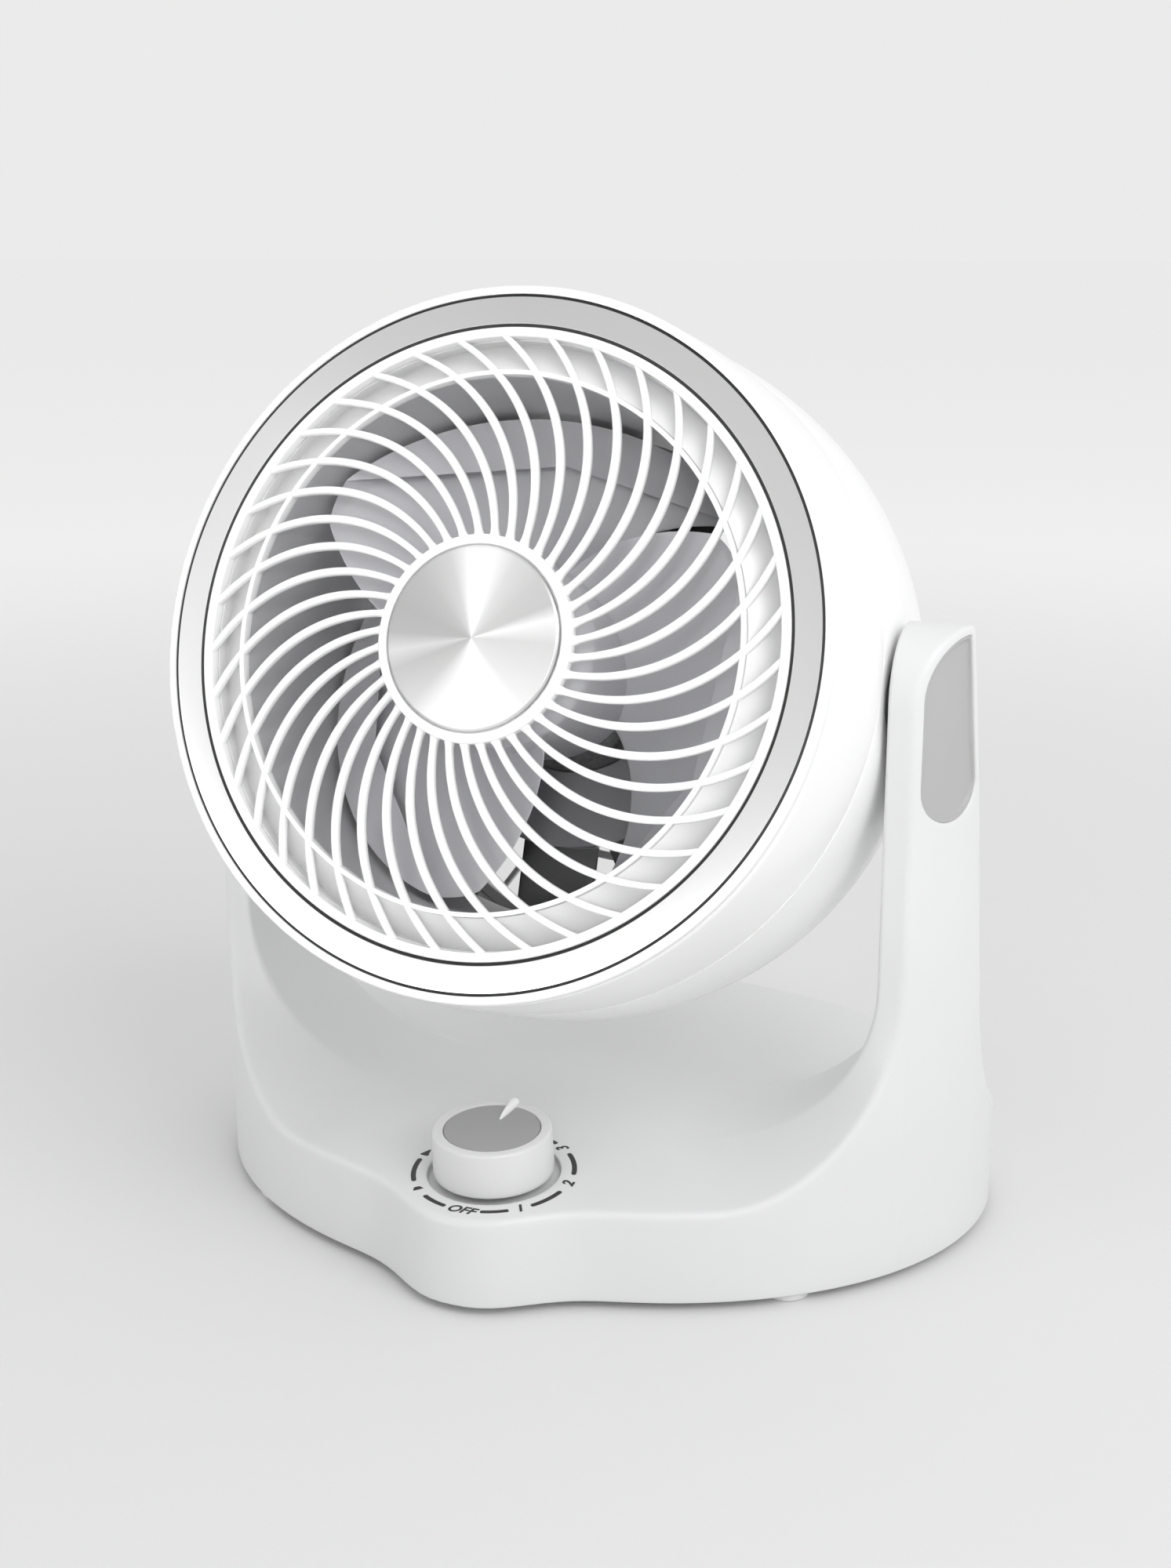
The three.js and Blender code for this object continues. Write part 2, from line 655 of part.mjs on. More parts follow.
/** The bushing that a mains lead would come through: a barrel in the wall, with its flange inside. */
function cordInlet() {
  const bore = inletRadius - inletWall;
  const rear = -baseWall - gap * 4;
  const barrel = ring(bore, inletRadius, rear - 2, -2 * gap, small);
  return onInlet(join(barrel, ring(bore, inletRadius + inletFlange, rear - 3, rear, small)));
}

for (const [word, side] of [['left', -1], ['right', 1]]) {
  const withinArm = prism(footprint(coverSink), 0, armTop);
  const cover = common(recess(side, recessMargin + gap, recessDepth - gap), withinArm);
  add(base, `pivot_cover_${word}`, cover, coverGrey());
  const bore = pivotBar(side, turningBore(pivotBoltRadius), armHalfGap - 9, pivotBoltSeat + 9, shaftSides);
  const bushingRadius = pivotBoltRadius + pivotBushingWall + boreGap;
  const bushing = cut(pivotBar(side, bushingRadius, armHalfGap, pivotBoltSeat - 3 * gap), bore);
  add(base, `pivot_bushing_${word}`, bushing, darkPlastic());
}

// ---------------------------------------------------------------- knob

const knobGroup = new THREE.Group();
knobGroup.position.set(0, knobY, knobPlane);
knobGroup.rotation.x = ledgeTilt;
base.add(knobGroup);

const pointerBox = (width, from, to) => box([-width / 2, knobRadius - pointerLength + 0.4, from],
  [width / 2, knobRadius + 0.4, to]);

/** The knob: a cup with a stem for the shaft, a shallow seat for the insert and a raised pointer. */
function knobBody() {
  const seat = knobTop - insertThickness - 2 * gap;
  const inside = knobRadius - knobWall;
  const cup = revolve([[0, seat], [insertRadius + gap, seat], [insertRadius + gap, knobTop],
    [knobRadius - 1.2, knobTop], [knobRadius - 0.4, knobTop - 0.4], [knobRadius, knobTop - 1.2],
    [knobRadius, knobBottom], [inside, knobBottom], [inside, seat - knobWall], [0, seat - knobWall]]);
  const stem = bar(switchShaftRadius + 3, knobBottom, seat - 1);
  const well = bar(switchShaftRadius + boreGap, 0, seat - 1.4);
  const pointer = pointerBox(pointerWidth, seat - 1, knobTop + pointerRise);
  return cut(join(cup, stem, pointer), well);
}

function knobInsert() {
  const face = knobTop - gap;
  const disc = bar(insertRadius, face - insertThickness, face, round);
  return cut(disc, pointerBox(pointerWidth + 2 * gap, 0, knobTop + 5).translate(0, -gap, 0));
}

const shaftTop = knobTop - insertThickness - 2 * gap - 1.4 - gap;
const shaftFoot = -(knobPlane - cavityTop) - switchWidth * ledgeSlope - switchDepth / 2 + gap;
add(knobGroup, 'knob', knobBody(), whiteGloss());
add(knobGroup, 'knob_insert', knobInsert(), plastic(0xa1a2a1, 0.45));
add(knobGroup, 'switch_shaft', bar(switchShaftRadius, shaftFoot, shaftTop, shaftSides), steel());

// ---------------------------------------------------------------- head

const head = new THREE.Group();
head.position.set(0, ringY, ringZ);
head.rotation.x = Math.PI / 2 - headTilt * degree;
root.add(head);

/** The drum's outer radius at a depth behind the ring's face, drawn as soft curves through four stations. */
function drumRadius(depth) {
  const front = -flangeFace;
  if (depth <= drumSeamDepth) {
    const share = (depth - front) / (drumSeamDepth - front);
    return drumFrontRadius + (drumSeamRadius - drumFrontRadius) * (1.7 * share - 0.7 * share ** 2);
  }
  if (depth <= drumMaxDepth) {
    const share = (depth - drumSeamDepth) / (drumMaxDepth - drumSeamDepth);
    return drumSeamRadius + (drumMaxRadius - drumSeamRadius) * (2 * share - share ** 2);
  }
  const share = (depth - drumMaxDepth) / (drumRearDepth - drumMaxDepth);
  const fall = Math.sqrt(Math.max(0, 1 - share ** drumRearFullness));
  return drumRearRadius + (drumMaxRadius - drumRearRadius) * fall;
}

/** Points down the drum's side between two depths, drawn in by an inset. */
function drumSide(from, to, steps, inset) {
  return Array.from({ length: steps + 1 }, (_, k) => {
    const depth = from + ((to - from) * k) / steps;
    return [drumRadius(depth) - inset, -depth];
  });
}

const seamFront = drumSeamDepth - gap / 2;
const seamRear = drumSeamDepth + gap / 2;
const shroudInner = throatRadius + throatRingWall + gap + throatClearance;
const plateRear = flangeFace - shroudDepth;
const bossCircle = rimOuter + bossRadius + 1.8;
const ductScrewCircle = shroudInner + 7;

/** The front half of the drum: its side, the seat of the trim ring and the white plate round the throat. */
function frontShell() {
  const wallInside = drumSide(trimSeat - flangeFace, seamFront, 1, drumWall).reverse();
  const shell = revolve([
    ...drumSide(-flangeFace, seamFront, 3, 0), ...wallInside,
    [rimOuter + shroudPlate, flangeFace - trimSeat], [rimInner, plateRear - shroudPlate],
    [shroudInner, plateRear - shroudPlate], [shroudInner, -ribDepth - 0.1],
    [rimInner - throatClearance, plateRear + shroudEdge], [rimInner - throatClearance, flangeFace],
  ]);
  const post = () => bar(bossRadius, -seamFront, flangeFace - trimSeat / 2).translate(bossCircle, 0, 0);
  const bore = () => bar(boreRadius, -seamFront - 1, -shellScrewLength - 2).translate(bossCircle, 0, 0);
  const ductBore = () => bar(boreRadius, plateRear - 9, plateRear + 4.4).translate(ductScrewCircle, 0, 0);
  const posts = around(4, post, shellScrewTurn);
  const bores = around(4, bore, shellScrewTurn);
  const ductBores = around(4, ductBore, ductScrewTurn);
  return cut(join(shell, posts), bores, ductBores);
}

/** The narrow glossy lip outside the trim ring. */
function lipRing() {
  return revolve([[lipInner, flangeFace + gap], [lipOuter, flangeFace + gap], [lipOuter, -2.6],
    [lipOuter - 0.8, -0.7], [lipInner + 0.8, gap], [lipInner, gap]]);
}

/** The bright ring: a flat face, a little lower at its inner edge. */
function trimRing() {
  return revolve([[trimInner, -trimThickness], [trimOuter, -trimThickness], [trimOuter, -0.4],
    [trimOuter - 0.5, 0.1], [trimInner + 0.5, -0.3], [trimInner, -0.8]]);
}

/** Height of the ribs' front edges above the ring's face. */
const ribFront = (radius) => ribHubHeight - ribSlope * (radius - hubRadius);

/** The direction of a rib at a radius, in degrees from where it leaves the hub. */
const ribAngle = (radius) => ribSweep * (radius - hubRadius) + ribSweepGrowth * (radius - hubRadius) ** 2;

/** One curved rib from the hub to the rim. */
function rib() {
  const from = hubRadius - 1.5;
  const to = rimInner + 1.5;
  const steps = 4;
  const rings = Array.from({ length: steps + 1 }, (_, k) => {
    const share = k / steps;
    const radius = from + (to - from) * share;
    const angle = ribAngle(radius) * degree;
    const turn = angle + Math.atan(radius * (ribSweep + 2 * ribSweepGrowth * (radius - hubRadius)) * degree);
    const half = (ribWidth + ribExtraWidth * Math.sin(Math.PI * share)) / 2;
    const [x, y] = [radius * Math.cos(angle), radius * Math.sin(angle)];
    const [dx, dy] = [-Math.sin(turn) * half, Math.cos(turn) * half];
    const front = ribFront(radius);
    return [[x - dx, y - dy, front - ribDepth], [x + dx, y + dy, front - ribDepth],
      [x + dx * 0.8, y + dy * 0.8, front], [x - dx * 0.8, y - dy * 0.8, front]];
  });
  return loft(rings);
}

const badgeBack = ribHubHeight + 0.2;

/** The grille: a hub disc, curved ribs, a ring at the throat and the outer rim. */
function frontGrille() {
  const hub = revolve([[0, ribHubHeight - ribDepth], [hubRadius, ribHubHeight - ribDepth],
    [hubRadius, ribHubHeight + 0.9], [hubRadius - 0.7, ribHubHeight + 1.5],
    [badgeRadius + gap, ribHubHeight + 1.5],
    [badgeRadius + gap, badgeBack - gap], [0, badgeBack - gap]]);
  const throatFront = ribFront(throatRadius) + 0.3;
  const throat = ring(throatRadius, throatRadius + throatRingWall, -ribDepth + gap, throatFront);
  const rim = revolve([[rimInner, flangeFace + gap], [rimOuter, flangeFace + gap], [rimOuter, -0.6],
    [rimOuter - 0.6, 0], [rimInner + 0.6, 0], [rimInner, -0.6]]);
  return join(hub, throat, rim, around(ribCount, rib, ribStart));
}

/** The bare metal disc on the hub, with a bevelled edge. */
function hubBadge() {
  const front = badgeBack + badgeThickness;
  return revolve([[0, badgeBack], [badgeRadius, badgeBack], [badgeRadius, front - 0.5],
    [badgeRadius - 0.6, front], [0, front]]);
}

add(head, 'front_shell', frontShell(), whiteGloss());
add(head, 'lip_ring', lipRing(), whiteGloss());
add(head, 'trim_ring', trimRing(), chrome());
add(head, 'front_grille', frontGrille(), whiteGloss());
add(head, 'hub_badge', hubBadge(), spunAluminium());

/** A round bar at the pivot, in the head's own frame. */
function headPivotBar(side, radius, from, to, sides = small) {
  const lying = alongX(bar(radius, from, to, sides));
  if (side < 0) lying.rotateZ(Math.PI);
  return lying.translate(0, 0, -ringForward);
}

/** The rear half of the drum, with a flat and a boss at each pivot and a flange for the shell screws. */
function rearShell() {
  const beforeWidest = drumSide(seamRear, drumMaxDepth, 2, 0);
  const outside = [...beforeWidest, ...drumSide(drumMaxDepth, drumRearDepth, 6, 0).slice(1)];
  const lastInside = drumRearDepth - drumWall;
  const inside = [...drumSide(seamRear + 3, drumMaxDepth, 1, drumWall),
    ...drumSide(drumMaxDepth, lastInside, 3, drumWall).slice(1)].reverse();
  const bore = drumRearRadius - drumWall - 1;
  const shell = revolve([...outside, [bore, -drumRearDepth], [bore, -lastInside], ...inside,
    [bossCircle - 6, -seamRear - 3], [bossCircle - 6, -seamRear]]);
  const bossInner = pivotFlat - pivotBossLength;
  const bosses = [1, -1].map((side) => headPivotBar(side, pivotBossRadius, bossInner, pivotFlat + 1));
  const hole = () => bar(boreRadius, -seamRear - 9, -seamRear + 1).translate(bossCircle, 0, 0);
  const holes = around(4, hole, shellScrewTurn);
  const beyond = drumMaxRadius + gap;
  const flats = [1, -1].map((side) => box([side > 0 ? pivotFlat : -beyond, -beyond, -drumRearDepth],
    [side > 0 ? beyond : -pivotFlat, beyond, 0]));
  const boltHole = pivotBoltRadius + boreGap;
  const bores = [1, -1].map((side) => headPivotBar(side, boltHole, bossInner - 9, pivotFlat + 9));
  return cut(join(shell, bosses), holes, flats, bores);
}

/** Depth of the rear grille's outer face at a radius. */
function rearFace(radius) {
  const edge = drumRearRadius - drumWall - 1 - gap;
  return drumRearDepth + rearDome * (1 - (radius / edge) ** 2);
}

/** The rear grille: a domed disc of radial ribs, a ring halfway and a middle plate. */
function rearGrille() {
  const edge = drumRearRadius - drumWall - 1 - gap;
  const thick = 3;
  const dome = (inner, outer) => revolve([[inner, -rearFace(inner)], [outer, -rearFace(outer)],
    [outer, thick - rearFace(outer)], [inner, thick - rearFace(inner)]]);
  const rim = revolve([[edge - 4, -drumRearDepth], [edge, -drumRearDepth], [edge, 6 - drumRearDepth],
    [edge - 4, 6 - drumRearDepth]]);
  const plate = revolve([[0, -rearFace(0)], [rearPlateRadius, -rearFace(rearPlateRadius)],
    [rearPlateRadius, thick - rearFace(rearPlateRadius)], [0, thick - rearFace(0)]]);
  const spoke = () => loft([rearPlateRadius - 2, rearRingRadius, edge - 2].map((radius) => {
    const deep = -rearFace(radius) + 0.3;
    const high = deep + thick - 0.6;
    return [[radius, -1.1, deep], [radius, 1.1, deep], [radius, 1.1, high], [radius, -1.1, high]];
  }));
  return join(rim, plate, dome(rearRingRadius, rearRingRadius + 3), around(rearRibCount, spoke));
}

add(head, 'rear_shell', rearShell(), whiteGloss());
add(head, 'rear_grille', rearGrille(), whiteSatin());

/** Four screws from behind, with the face that their heads seat on. */
function screwsFromBehind(name, length, circle, seat, turn) {
  const one = () => screw(length).rotateX(Math.PI).translate(circle, 0, seat - gap - screwHeadThickness);
  around(4, one, turn).forEach((geometry, k) => add(head, `${name}_${k + 1}`, geometry, steel()));
}
screwsFromBehind('shell_screw', shellScrewLength, bossCircle, -seamRear - 3, shellScrewTurn);

const ductOuter = throatRadius + ductClearance + ductWall;
const ductFlange = ductOuter + ductFlangeWidth;

/** The duct round the impeller, with a flange behind the front shell's plate and one at its rear end. */
function airDuct() {
  const inner = throatRadius + ductClearance;
  const seat = plateRear - shroudPlate - gap;
  const outer = shroudInner - gap;
  const duct = revolve([[inner, -ribDepth - 0.1], [outer, -ribDepth - 0.1], [outer, seat],
    [ductFlange, seat], [ductFlange, seat - 2], [ductOuter, seat - 2], [ductOuter, 3 - ductRearDepth],
    [ductFlange, 3 - ductRearDepth], [ductFlange, -ductRearDepth], [inner, -ductRearDepth]]);
  const frontHole = () => bar(boreRadius, seat - 4, seat + 2).translate(ductScrewCircle, 0, 0);
  const rearHole = () => bar(boreRadius, -ductRearDepth - 3, 5 - ductRearDepth)
    .translate(bracketScrewCircle, 0, 0);
  const frontHoles = around(4, frontHole, ductScrewTurn);
  const rearHoles = around(4, rearHole, ductScrewTurn);
  return cut(duct, frontHoles, rearHoles);
}
const bracketScrewCircle = ductOuter + ductFlangeWidth / 2;
const bracketFace = -ductRearDepth - gap;
const coreMiddle = -(motorFrontDepth + motorRearDepth) / 2;
const motorSeat = coreMiddle - 3; // the rear end of the bracket's inner ring

add(head, 'air_duct', airDuct(), grey());
const ductScrewSeat = plateRear - 2 * shroudPlate - gap;
screwsFromBehind('duct_screw', ductScrewLength, ductScrewCircle, ductScrewSeat, ductScrewTurn);

/** The bracket that carries the motor: a disc with a ring round the motor, vanes and a flat outer ring. */
function motorBracket() {
  const outerRing = ring(ductOuter - ductWall, ductFlange, bracketFace - bracketThickness, bracketFace);
  const inner = motorRadius + gap;
  const innerRing = ring(inner, motorRadius + bracketRingWall, motorSeat, bracketFace, motorSides);
  const dish = ring(inner, bracketDishRadius, bracketFace - bracketThickness, bracketFace, motorSides);
  const half = vaneThickness / 2;
  const vane = () => box([motorRadius + 1.5, -half, motorSeat + 3], [ductOuter, half, bracketFace]);
  const hole = () => bar(boreRadius, bracketFace - 9, bracketFace + 3).translate(bracketScrewCircle, 0, 0);
  const holes = around(4, hole, ductScrewTurn);
  return cut(join(outerRing, innerRing, dish, around(vaneCount, vane)), holes);
}
add(head, 'motor_bracket', motorBracket(), darkPlastic());
const bracketRear = bracketFace - bracketThickness;
screwsFromBehind('bracket_screw', bracketScrewLength, bracketScrewCircle, bracketRear, ductScrewTurn);

const bearingFrontFace = -motorFrontDepth - motorWall;
const bearingRearFace = -motorRearDepth + motorWall;

/** One cover of the motor, as a profile from its outer face: a cup of a length with a bearing seat. */
function coverProfile(length) {
  const nose = shaftRadius + 1.5;
  const seatRadius = bearingRadius + gap;
  const seatEnd = motorWall + bearingThickness + gap;
  const inside = motorRadius - motorWall;
  return [[nose, 0], [motorRadius - 4, 0], [motorRadius, 4], [motorRadius, length], [inside, length],
    [inside, 6], [seatRadius + 2, motorWall], [seatRadius + 2, seatEnd], [seatRadius, seatEnd],
    [seatRadius, motorWall],
    [nose, motorWall]];
}
const coverLength = (motorRearDepth - motorFrontDepth) / 2 - gap / 2;

function frontCover() {
  const profile = coverProfile(coverLength);
  return revolve(profile.map(([radius, depth]) => [radius, -motorFrontDepth - depth]), motorSides);
}

/** The rear cover has a flange that seats behind the bracket's inner ring. */
function rearCover() {
  const profile = coverProfile(coverLength);
  const cup = revolve(profile.map(([radius, depth]) => [radius, depth - motorRearDepth]), motorSides);
  const seat = motorSeat - gap;
  return join(cup, ring(motorRadius - 1, motorRadius + bracketRingWall, seat - 3, seat, motorSides));
}
add(head, 'motor_front_cover', frontCover(), castAluminium());
add(head, 'motor_rear_cover', rearCover(), castAluminium());

/** The laminated core with its slots. */
function stator() {
  const outer = motorRadius - motorWall - gap;
  const half = statorThickness / 2;
  const core = ring(rotorCoreRadius + airGap, outer, coreMiddle - half, coreMiddle + half, motorSides);
  const slot = () => box([rotorCoreRadius + 4, -slotWidth / 2, coreMiddle - half - 1],
    [outer - 3.5, slotWidth / 2, coreMiddle + half + 1]);
  return cut(core, around(slotCount, slot));
}
add(head, 'stator', stator(), steel());

/** A ball bearing, as one ring, from its front face backwards. */
function bearing(from) {
  return ring(turningBore(shaftRadius), bearingRadius, from - bearingThickness, from, shaftSides);
}
add(head, 'bearing_front', bearing(bearingFrontFace - gap), steel());
add(head, 'bearing_rear', bearing(bearingRearFace + gap + bearingThickness), steel());

for (const [word, side] of [['left', -1], ['right', 1]]) {
  const headSeat = pivotBoltSeat - gap;
  const tip = pivotFlat - pivotBossLength - gap - pivotNutThickness - 1.5;
  const bolt = join(headPivotBar(side, pivotBoltRadius, tip, headSeat + 1, shaftSides),
    headPivotBar(side, pivotBoltHeadRadius, headSeat, headSeat + pivotBoltHeadThickness));
  add(head, `pivot_bolt_${word}`, bolt, steel());
  const nutEnd = pivotFlat - pivotBossLength - gap;
  const bore = headPivotBar(side, pivotBoltRadius + boreGap, nutEnd - 30, armHalfGap + 9);
  const nut = headPivotBar(side, pivotNutRadius, nutEnd - pivotNutThickness, nutEnd, 6);
  add(head, `pivot_nut_${word}`, cut(nut, bore), steel());
  const washer = headPivotBar(side, pivotWasherRadius, pivotFlat + gap, armHalfGap - gap);
  add(head, `pivot_washer_${word}`, cut(washer, bore), darkPlastic());
}

// ---------------------------------------------------------------- rotor

const bladeTip = throatRadius + ductClearance - bladeTipClearance;
const wayOut = (radius) => (radius - impellerHubRadius) / (bladeTip - impellerHubRadius);

/** Where a blade's two edges lie at a radius, in degrees. The front edge has a rounded corner at the tip. */
const rearEdge = (radius) => bladeRearTurn - bladeRearSweep * wayOut(radius);
function frontEdge(radius) {
  const corner = Math.max(0, (wayOut(radius) - 0.9) / 0.1) ** 2;
  return bladeFrontTurn - bladeFrontSweep * wayOut(radius) - bladeCornerSweep * corner;
}

/** How deep a blade's rear edge lies: it steps back from the hub, ever more gently, to the tip. */
const rearOf = (way) => -bladeRearDepth - bladeTipRearward * Math.max(0, way) ** 0.7;

/** One blade: a thin plate that falls from its front edge, ever more gently, to its rear edge. */
function blade() {
  const across = 6;
  const ways = [-0.05, 0.1, 0.27, 0.5, 0.73, 0.9, 0.95, 1];
  const rings = ways.map((way) => {
    const radius = impellerHubRadius + (bladeTip - impellerHubRadius) * way;
    const [from, to] = [rearEdge(radius) * degree, frontEdge(radius) * degree];
    const rise = bladeTipForward * way - bladeFrontDepth - rearOf(way);
    const point = (share, thick) => {
      const angle = from + (to - from) * share;
      const height = rearOf(way) + rise * share ** bladeFall + thick;
      return [radius * Math.cos(angle), radius * Math.sin(angle), height];
    };
    const shares = Array.from({ length: across + 1 }, (_, j) => j / across);
    const thickness = (share) => bladeThickness * (0.3 + 0.7 * Math.sin(Math.PI * share));
    const upper = shares.map((share) => point(share, thickness(share)));
    const lower = shares.map((share) => point(share, 0)).reverse();
    return [...upper, ...lower];
  });
  return loft(rings, true);
}

/** The impeller: three broad blades on a hub cup with a rounded nose. */
function impeller() {
  const rear = -bladeRearDepth - 2;
  const front = -impellerFrontDepth;
  const hub = revolve([[0, front - 6], [impellerHubRadius - 3, front - 9], [impellerHubRadius - 3, rear],
    [impellerHubRadius, rear], [impellerHubRadius, front - 5], [impellerHubRadius - 2, front - 1.5],
    [impellerHubRadius - 6, front], [0, front]], 36);
  const boss = bar(shaftRadius + 5, rear + 8, front - 3, shaftSides);
  const blades = around(bladeCount, blade);
  return cut(join(hub, boss, blades), bar(shaftRadius + boreGap, rear - 9, front + 9));
}

const rotor = new THREE.Group();
head.add(rotor);
add(rotor, 'impeller', impeller(), grey());
const nutFrom = -impellerFrontDepth + gap;
const shaftRear = -motorRearDepth + motorWall + gap + 1;
const lockNut = cut(bar(lockNutRadius, nutFrom, nutFrom + lockNutThickness, 6),
  bar(shaftRadius + boreGap, nutFrom - 9, nutFrom + 9));
const coreHalf = statorThickness / 2 + 1;
const coreEnds = [coreMiddle - coreHalf, coreMiddle + coreHalf];
const core = ring(shaftRadius + boreGap, rotorCoreRadius, ...coreEnds, motorSides);
const shaftFront = nutFrom + lockNutThickness + 0.5;
add(rotor, 'motor_shaft', bar(shaftRadius, shaftRear, shaftFront, shaftSides), steel());
add(rotor, 'lock_nut', lockNut, steel());
add(rotor, 'rotor_core', core, steel());

export default root;
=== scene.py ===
# A desk air circulator. A drum-shaped head with a spiral grille tilts between the two arms of a
# U-shaped base, and a knob on the front of the base sets the speed. Shapes are worked out in
# millimetres and written into the meshes in metres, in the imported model's own frame.
import json
from math import atan2, cos, pi, radians, sin, sqrt

import bmesh
import bpy
import numpy as np
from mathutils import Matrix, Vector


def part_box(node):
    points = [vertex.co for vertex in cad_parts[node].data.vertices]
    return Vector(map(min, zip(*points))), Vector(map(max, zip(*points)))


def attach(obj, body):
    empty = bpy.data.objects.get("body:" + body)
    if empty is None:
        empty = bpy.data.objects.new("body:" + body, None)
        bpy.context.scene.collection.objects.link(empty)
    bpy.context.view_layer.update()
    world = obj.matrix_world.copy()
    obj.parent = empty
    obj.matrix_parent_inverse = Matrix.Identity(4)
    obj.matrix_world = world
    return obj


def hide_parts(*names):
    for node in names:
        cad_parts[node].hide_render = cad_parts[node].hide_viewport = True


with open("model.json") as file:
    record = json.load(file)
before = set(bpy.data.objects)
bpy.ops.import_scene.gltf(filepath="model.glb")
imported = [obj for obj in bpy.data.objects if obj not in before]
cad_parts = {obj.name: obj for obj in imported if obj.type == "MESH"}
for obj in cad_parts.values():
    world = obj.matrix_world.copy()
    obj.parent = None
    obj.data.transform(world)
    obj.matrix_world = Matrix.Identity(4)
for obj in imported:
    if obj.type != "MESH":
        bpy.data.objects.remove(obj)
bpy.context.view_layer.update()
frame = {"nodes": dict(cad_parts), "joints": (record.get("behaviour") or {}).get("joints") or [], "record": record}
joints = {joint["name"]: joint for joint in frame["joints"]}


# ---------------------------------------------------------------- base shell
# One moulding of white satin plastic: an oval foot whose deck sweeps up into two arms, with a bulge
# in front for the knob. It is the part that everything else is fixed to.

class Value:
    """A number that a finish works out at each point of a surface. Arithmetic on it adds Math nodes."""

    def __init__(self, finish, socket):
        self.finish = finish
        self.socket = socket

    def math(self, operation, *others):
        sockets = {k: value for k, value in enumerate((self, *others))}
        return self.finish.node("ShaderNodeMath", {"operation": operation}, sockets)

    def __add__(self, other):
        return self.math("ADD", other)

    def __sub__(self, other):
        return self.math("SUBTRACT", other)

    def __mul__(self, other):
        return self.math("MULTIPLY", other)

    def __rsub__(self, other):
        return (self * -1) + other

    __radd__ = __add__
    __rmul__ = __mul__

    def rises(self, low, high):
        """0 below low, 1 above high and a smooth rise between them."""
        settings = {"interpolation_type": "SMOOTHSTEP"}
        sockets = {"Value": self, "From Min": low, "From Max": high}
        return self.finish.node("ShaderNodeMapRange", settings, sockets)

    def between(self, low, high, soft):
        """1 between two values and 0 outside them, with soft ends."""
        return self.rises(low - soft, low) * (1 - self.rises(high, high + soft))


class Finish:
    """A material under construction, with its shader's sockets."""

    def __init__(self, name, roughness, metallic=0.0, **constants):
        self.material = bpy.data.materials.new(name)
        self.material.use_nodes = True
        self.tree = self.material.node_tree
        self.shader = self.tree.nodes["Principled BSDF"]
        self.set(Roughness=roughness, Metallic=metallic, **constants)

    def put(self, socket, value):
        """Gives a socket a constant, or a link from a value."""
        if isinstance(value, Value):
            self.tree.links.new(value.socket, socket)
        else:
            socket.default_value = value

    def set(self, **sockets):
        """Feeds the shader's sockets, whose names have an underscore for each space."""
        for name, value in sockets.items():
            self.put(self.shader.inputs[name.replace("_", " ")], value)

    def node(self, kind, settings=None, sockets=None, output=0):
        """Adds a node: its settings first, then its sockets. Returns one of its outputs."""
        made = self.tree.nodes.new(kind)
        for name, value in (settings or {}).items():
            if name == "stops":
                ramp = made.color_ramp.elements
                while len(ramp) < len(value):
                    ramp.new(0.5)
                for stop, (place, grey) in zip(ramp, value):
                    stop.position = place
                    stop.color = (grey, grey, grey, 1)
            else:
                setattr(made, name, value)
        for name, value in (sockets or {}).items():
            self.put(made.inputs[name], value)
        return Value(self, made.outputs[output])

    def place(self):
        """The point of the surface, in the object's own metres."""
        return self.node("ShaderNodeTexCoord", output=3)

    def noise(self, scale, detail=3.0, point=None):
        """Cloudy noise from 0 to 1, with `scale` lumps in a metre."""
        sockets = {"Vector": point or self.place(), "Scale": scale, "Detail": detail, "Roughness": 0.55}
        return self.node("ShaderNodeTexNoise", None, sockets)

    def bump(self, height, distance, strength=1.0, normal=None):
        """A relief of `height` times a distance in metres, on top of another one."""
        sockets = {"Height": height, "Distance": distance, "Strength": strength}
        if normal:
            sockets["Normal"] = normal
        return self.node("ShaderNodeBump", None, sockets)

    def ramp(self, value, stops):
        """Levels of grey that follow a value through stops of a place and a level each."""
        return self.node("ShaderNodeValToRGB", {"stops": stops}, {"Fac": value})

    def lines(self, along, scale, detail):
        """Noise from 0 to 1 along one value, with `scale` lines in a metre of it."""
        sockets = {"W": along, "Scale": scale, "Detail": detail}
        return self.node("ShaderNodeTexNoise", {"noise_dimensions": "1D"}, sockets)

    def blend(self, share, first, second):
        """A colour between two colours."""
        settings = {"data_type": "RGBA"}
        return self.node("ShaderNodeMix", settings, {0: share, 6: first, 7: second}, output=2)


def grey(level, tint=(1.0, 1.0, 1.0)):
    """A colour of a level of linear light, with a slight tint."""
    return (level * tint[0], level * tint[1], level * tint[2], 1.0)


def moulded(name, low, high, roughness, grain, orange_peel, tint=(1.0, 1.0, 1.0), mottle=0.07, **constants):
    """
    Injection-moulded plastic. Its colour drifts between two levels over centimetres, its gloss over
    millimetres by the mottle, and its relief is a fine grain on a faint orange peel, in metres.
    """
    finish = Finish(name, roughness, **constants)
    drift = finish.noise(26.0, 2.0)
    finish.set(Base_Color=finish.blend(drift, grey(low, tint), grey(high, tint)))
    finish.set(Roughness=roughness - mottle / 2 + mottle * finish.noise(300.0, 4.0))
    peel = finish.bump(finish.noise(210.0, 1.0), orange_peel)
    finish.set(Normal=finish.bump(finish.noise(2600.0, 2.0), grain, normal=peel))
    return finish


def surface(grid, start, window=None):
    """The four-sided faces of a grid of points, apart from those in a window of its rows and columns."""
    rows, columns = grid.shape[:2]
    index = start + np.arange(rows * columns).reshape(rows, columns)
    faces = np.stack([index[:-1, :-1], index[1:, :-1], index[1:, 1:], index[:-1, 1:]], -1)
    kept = np.ones(faces.shape[:2], bool)
    if window:
        kept[window] = False
    return faces[kept]


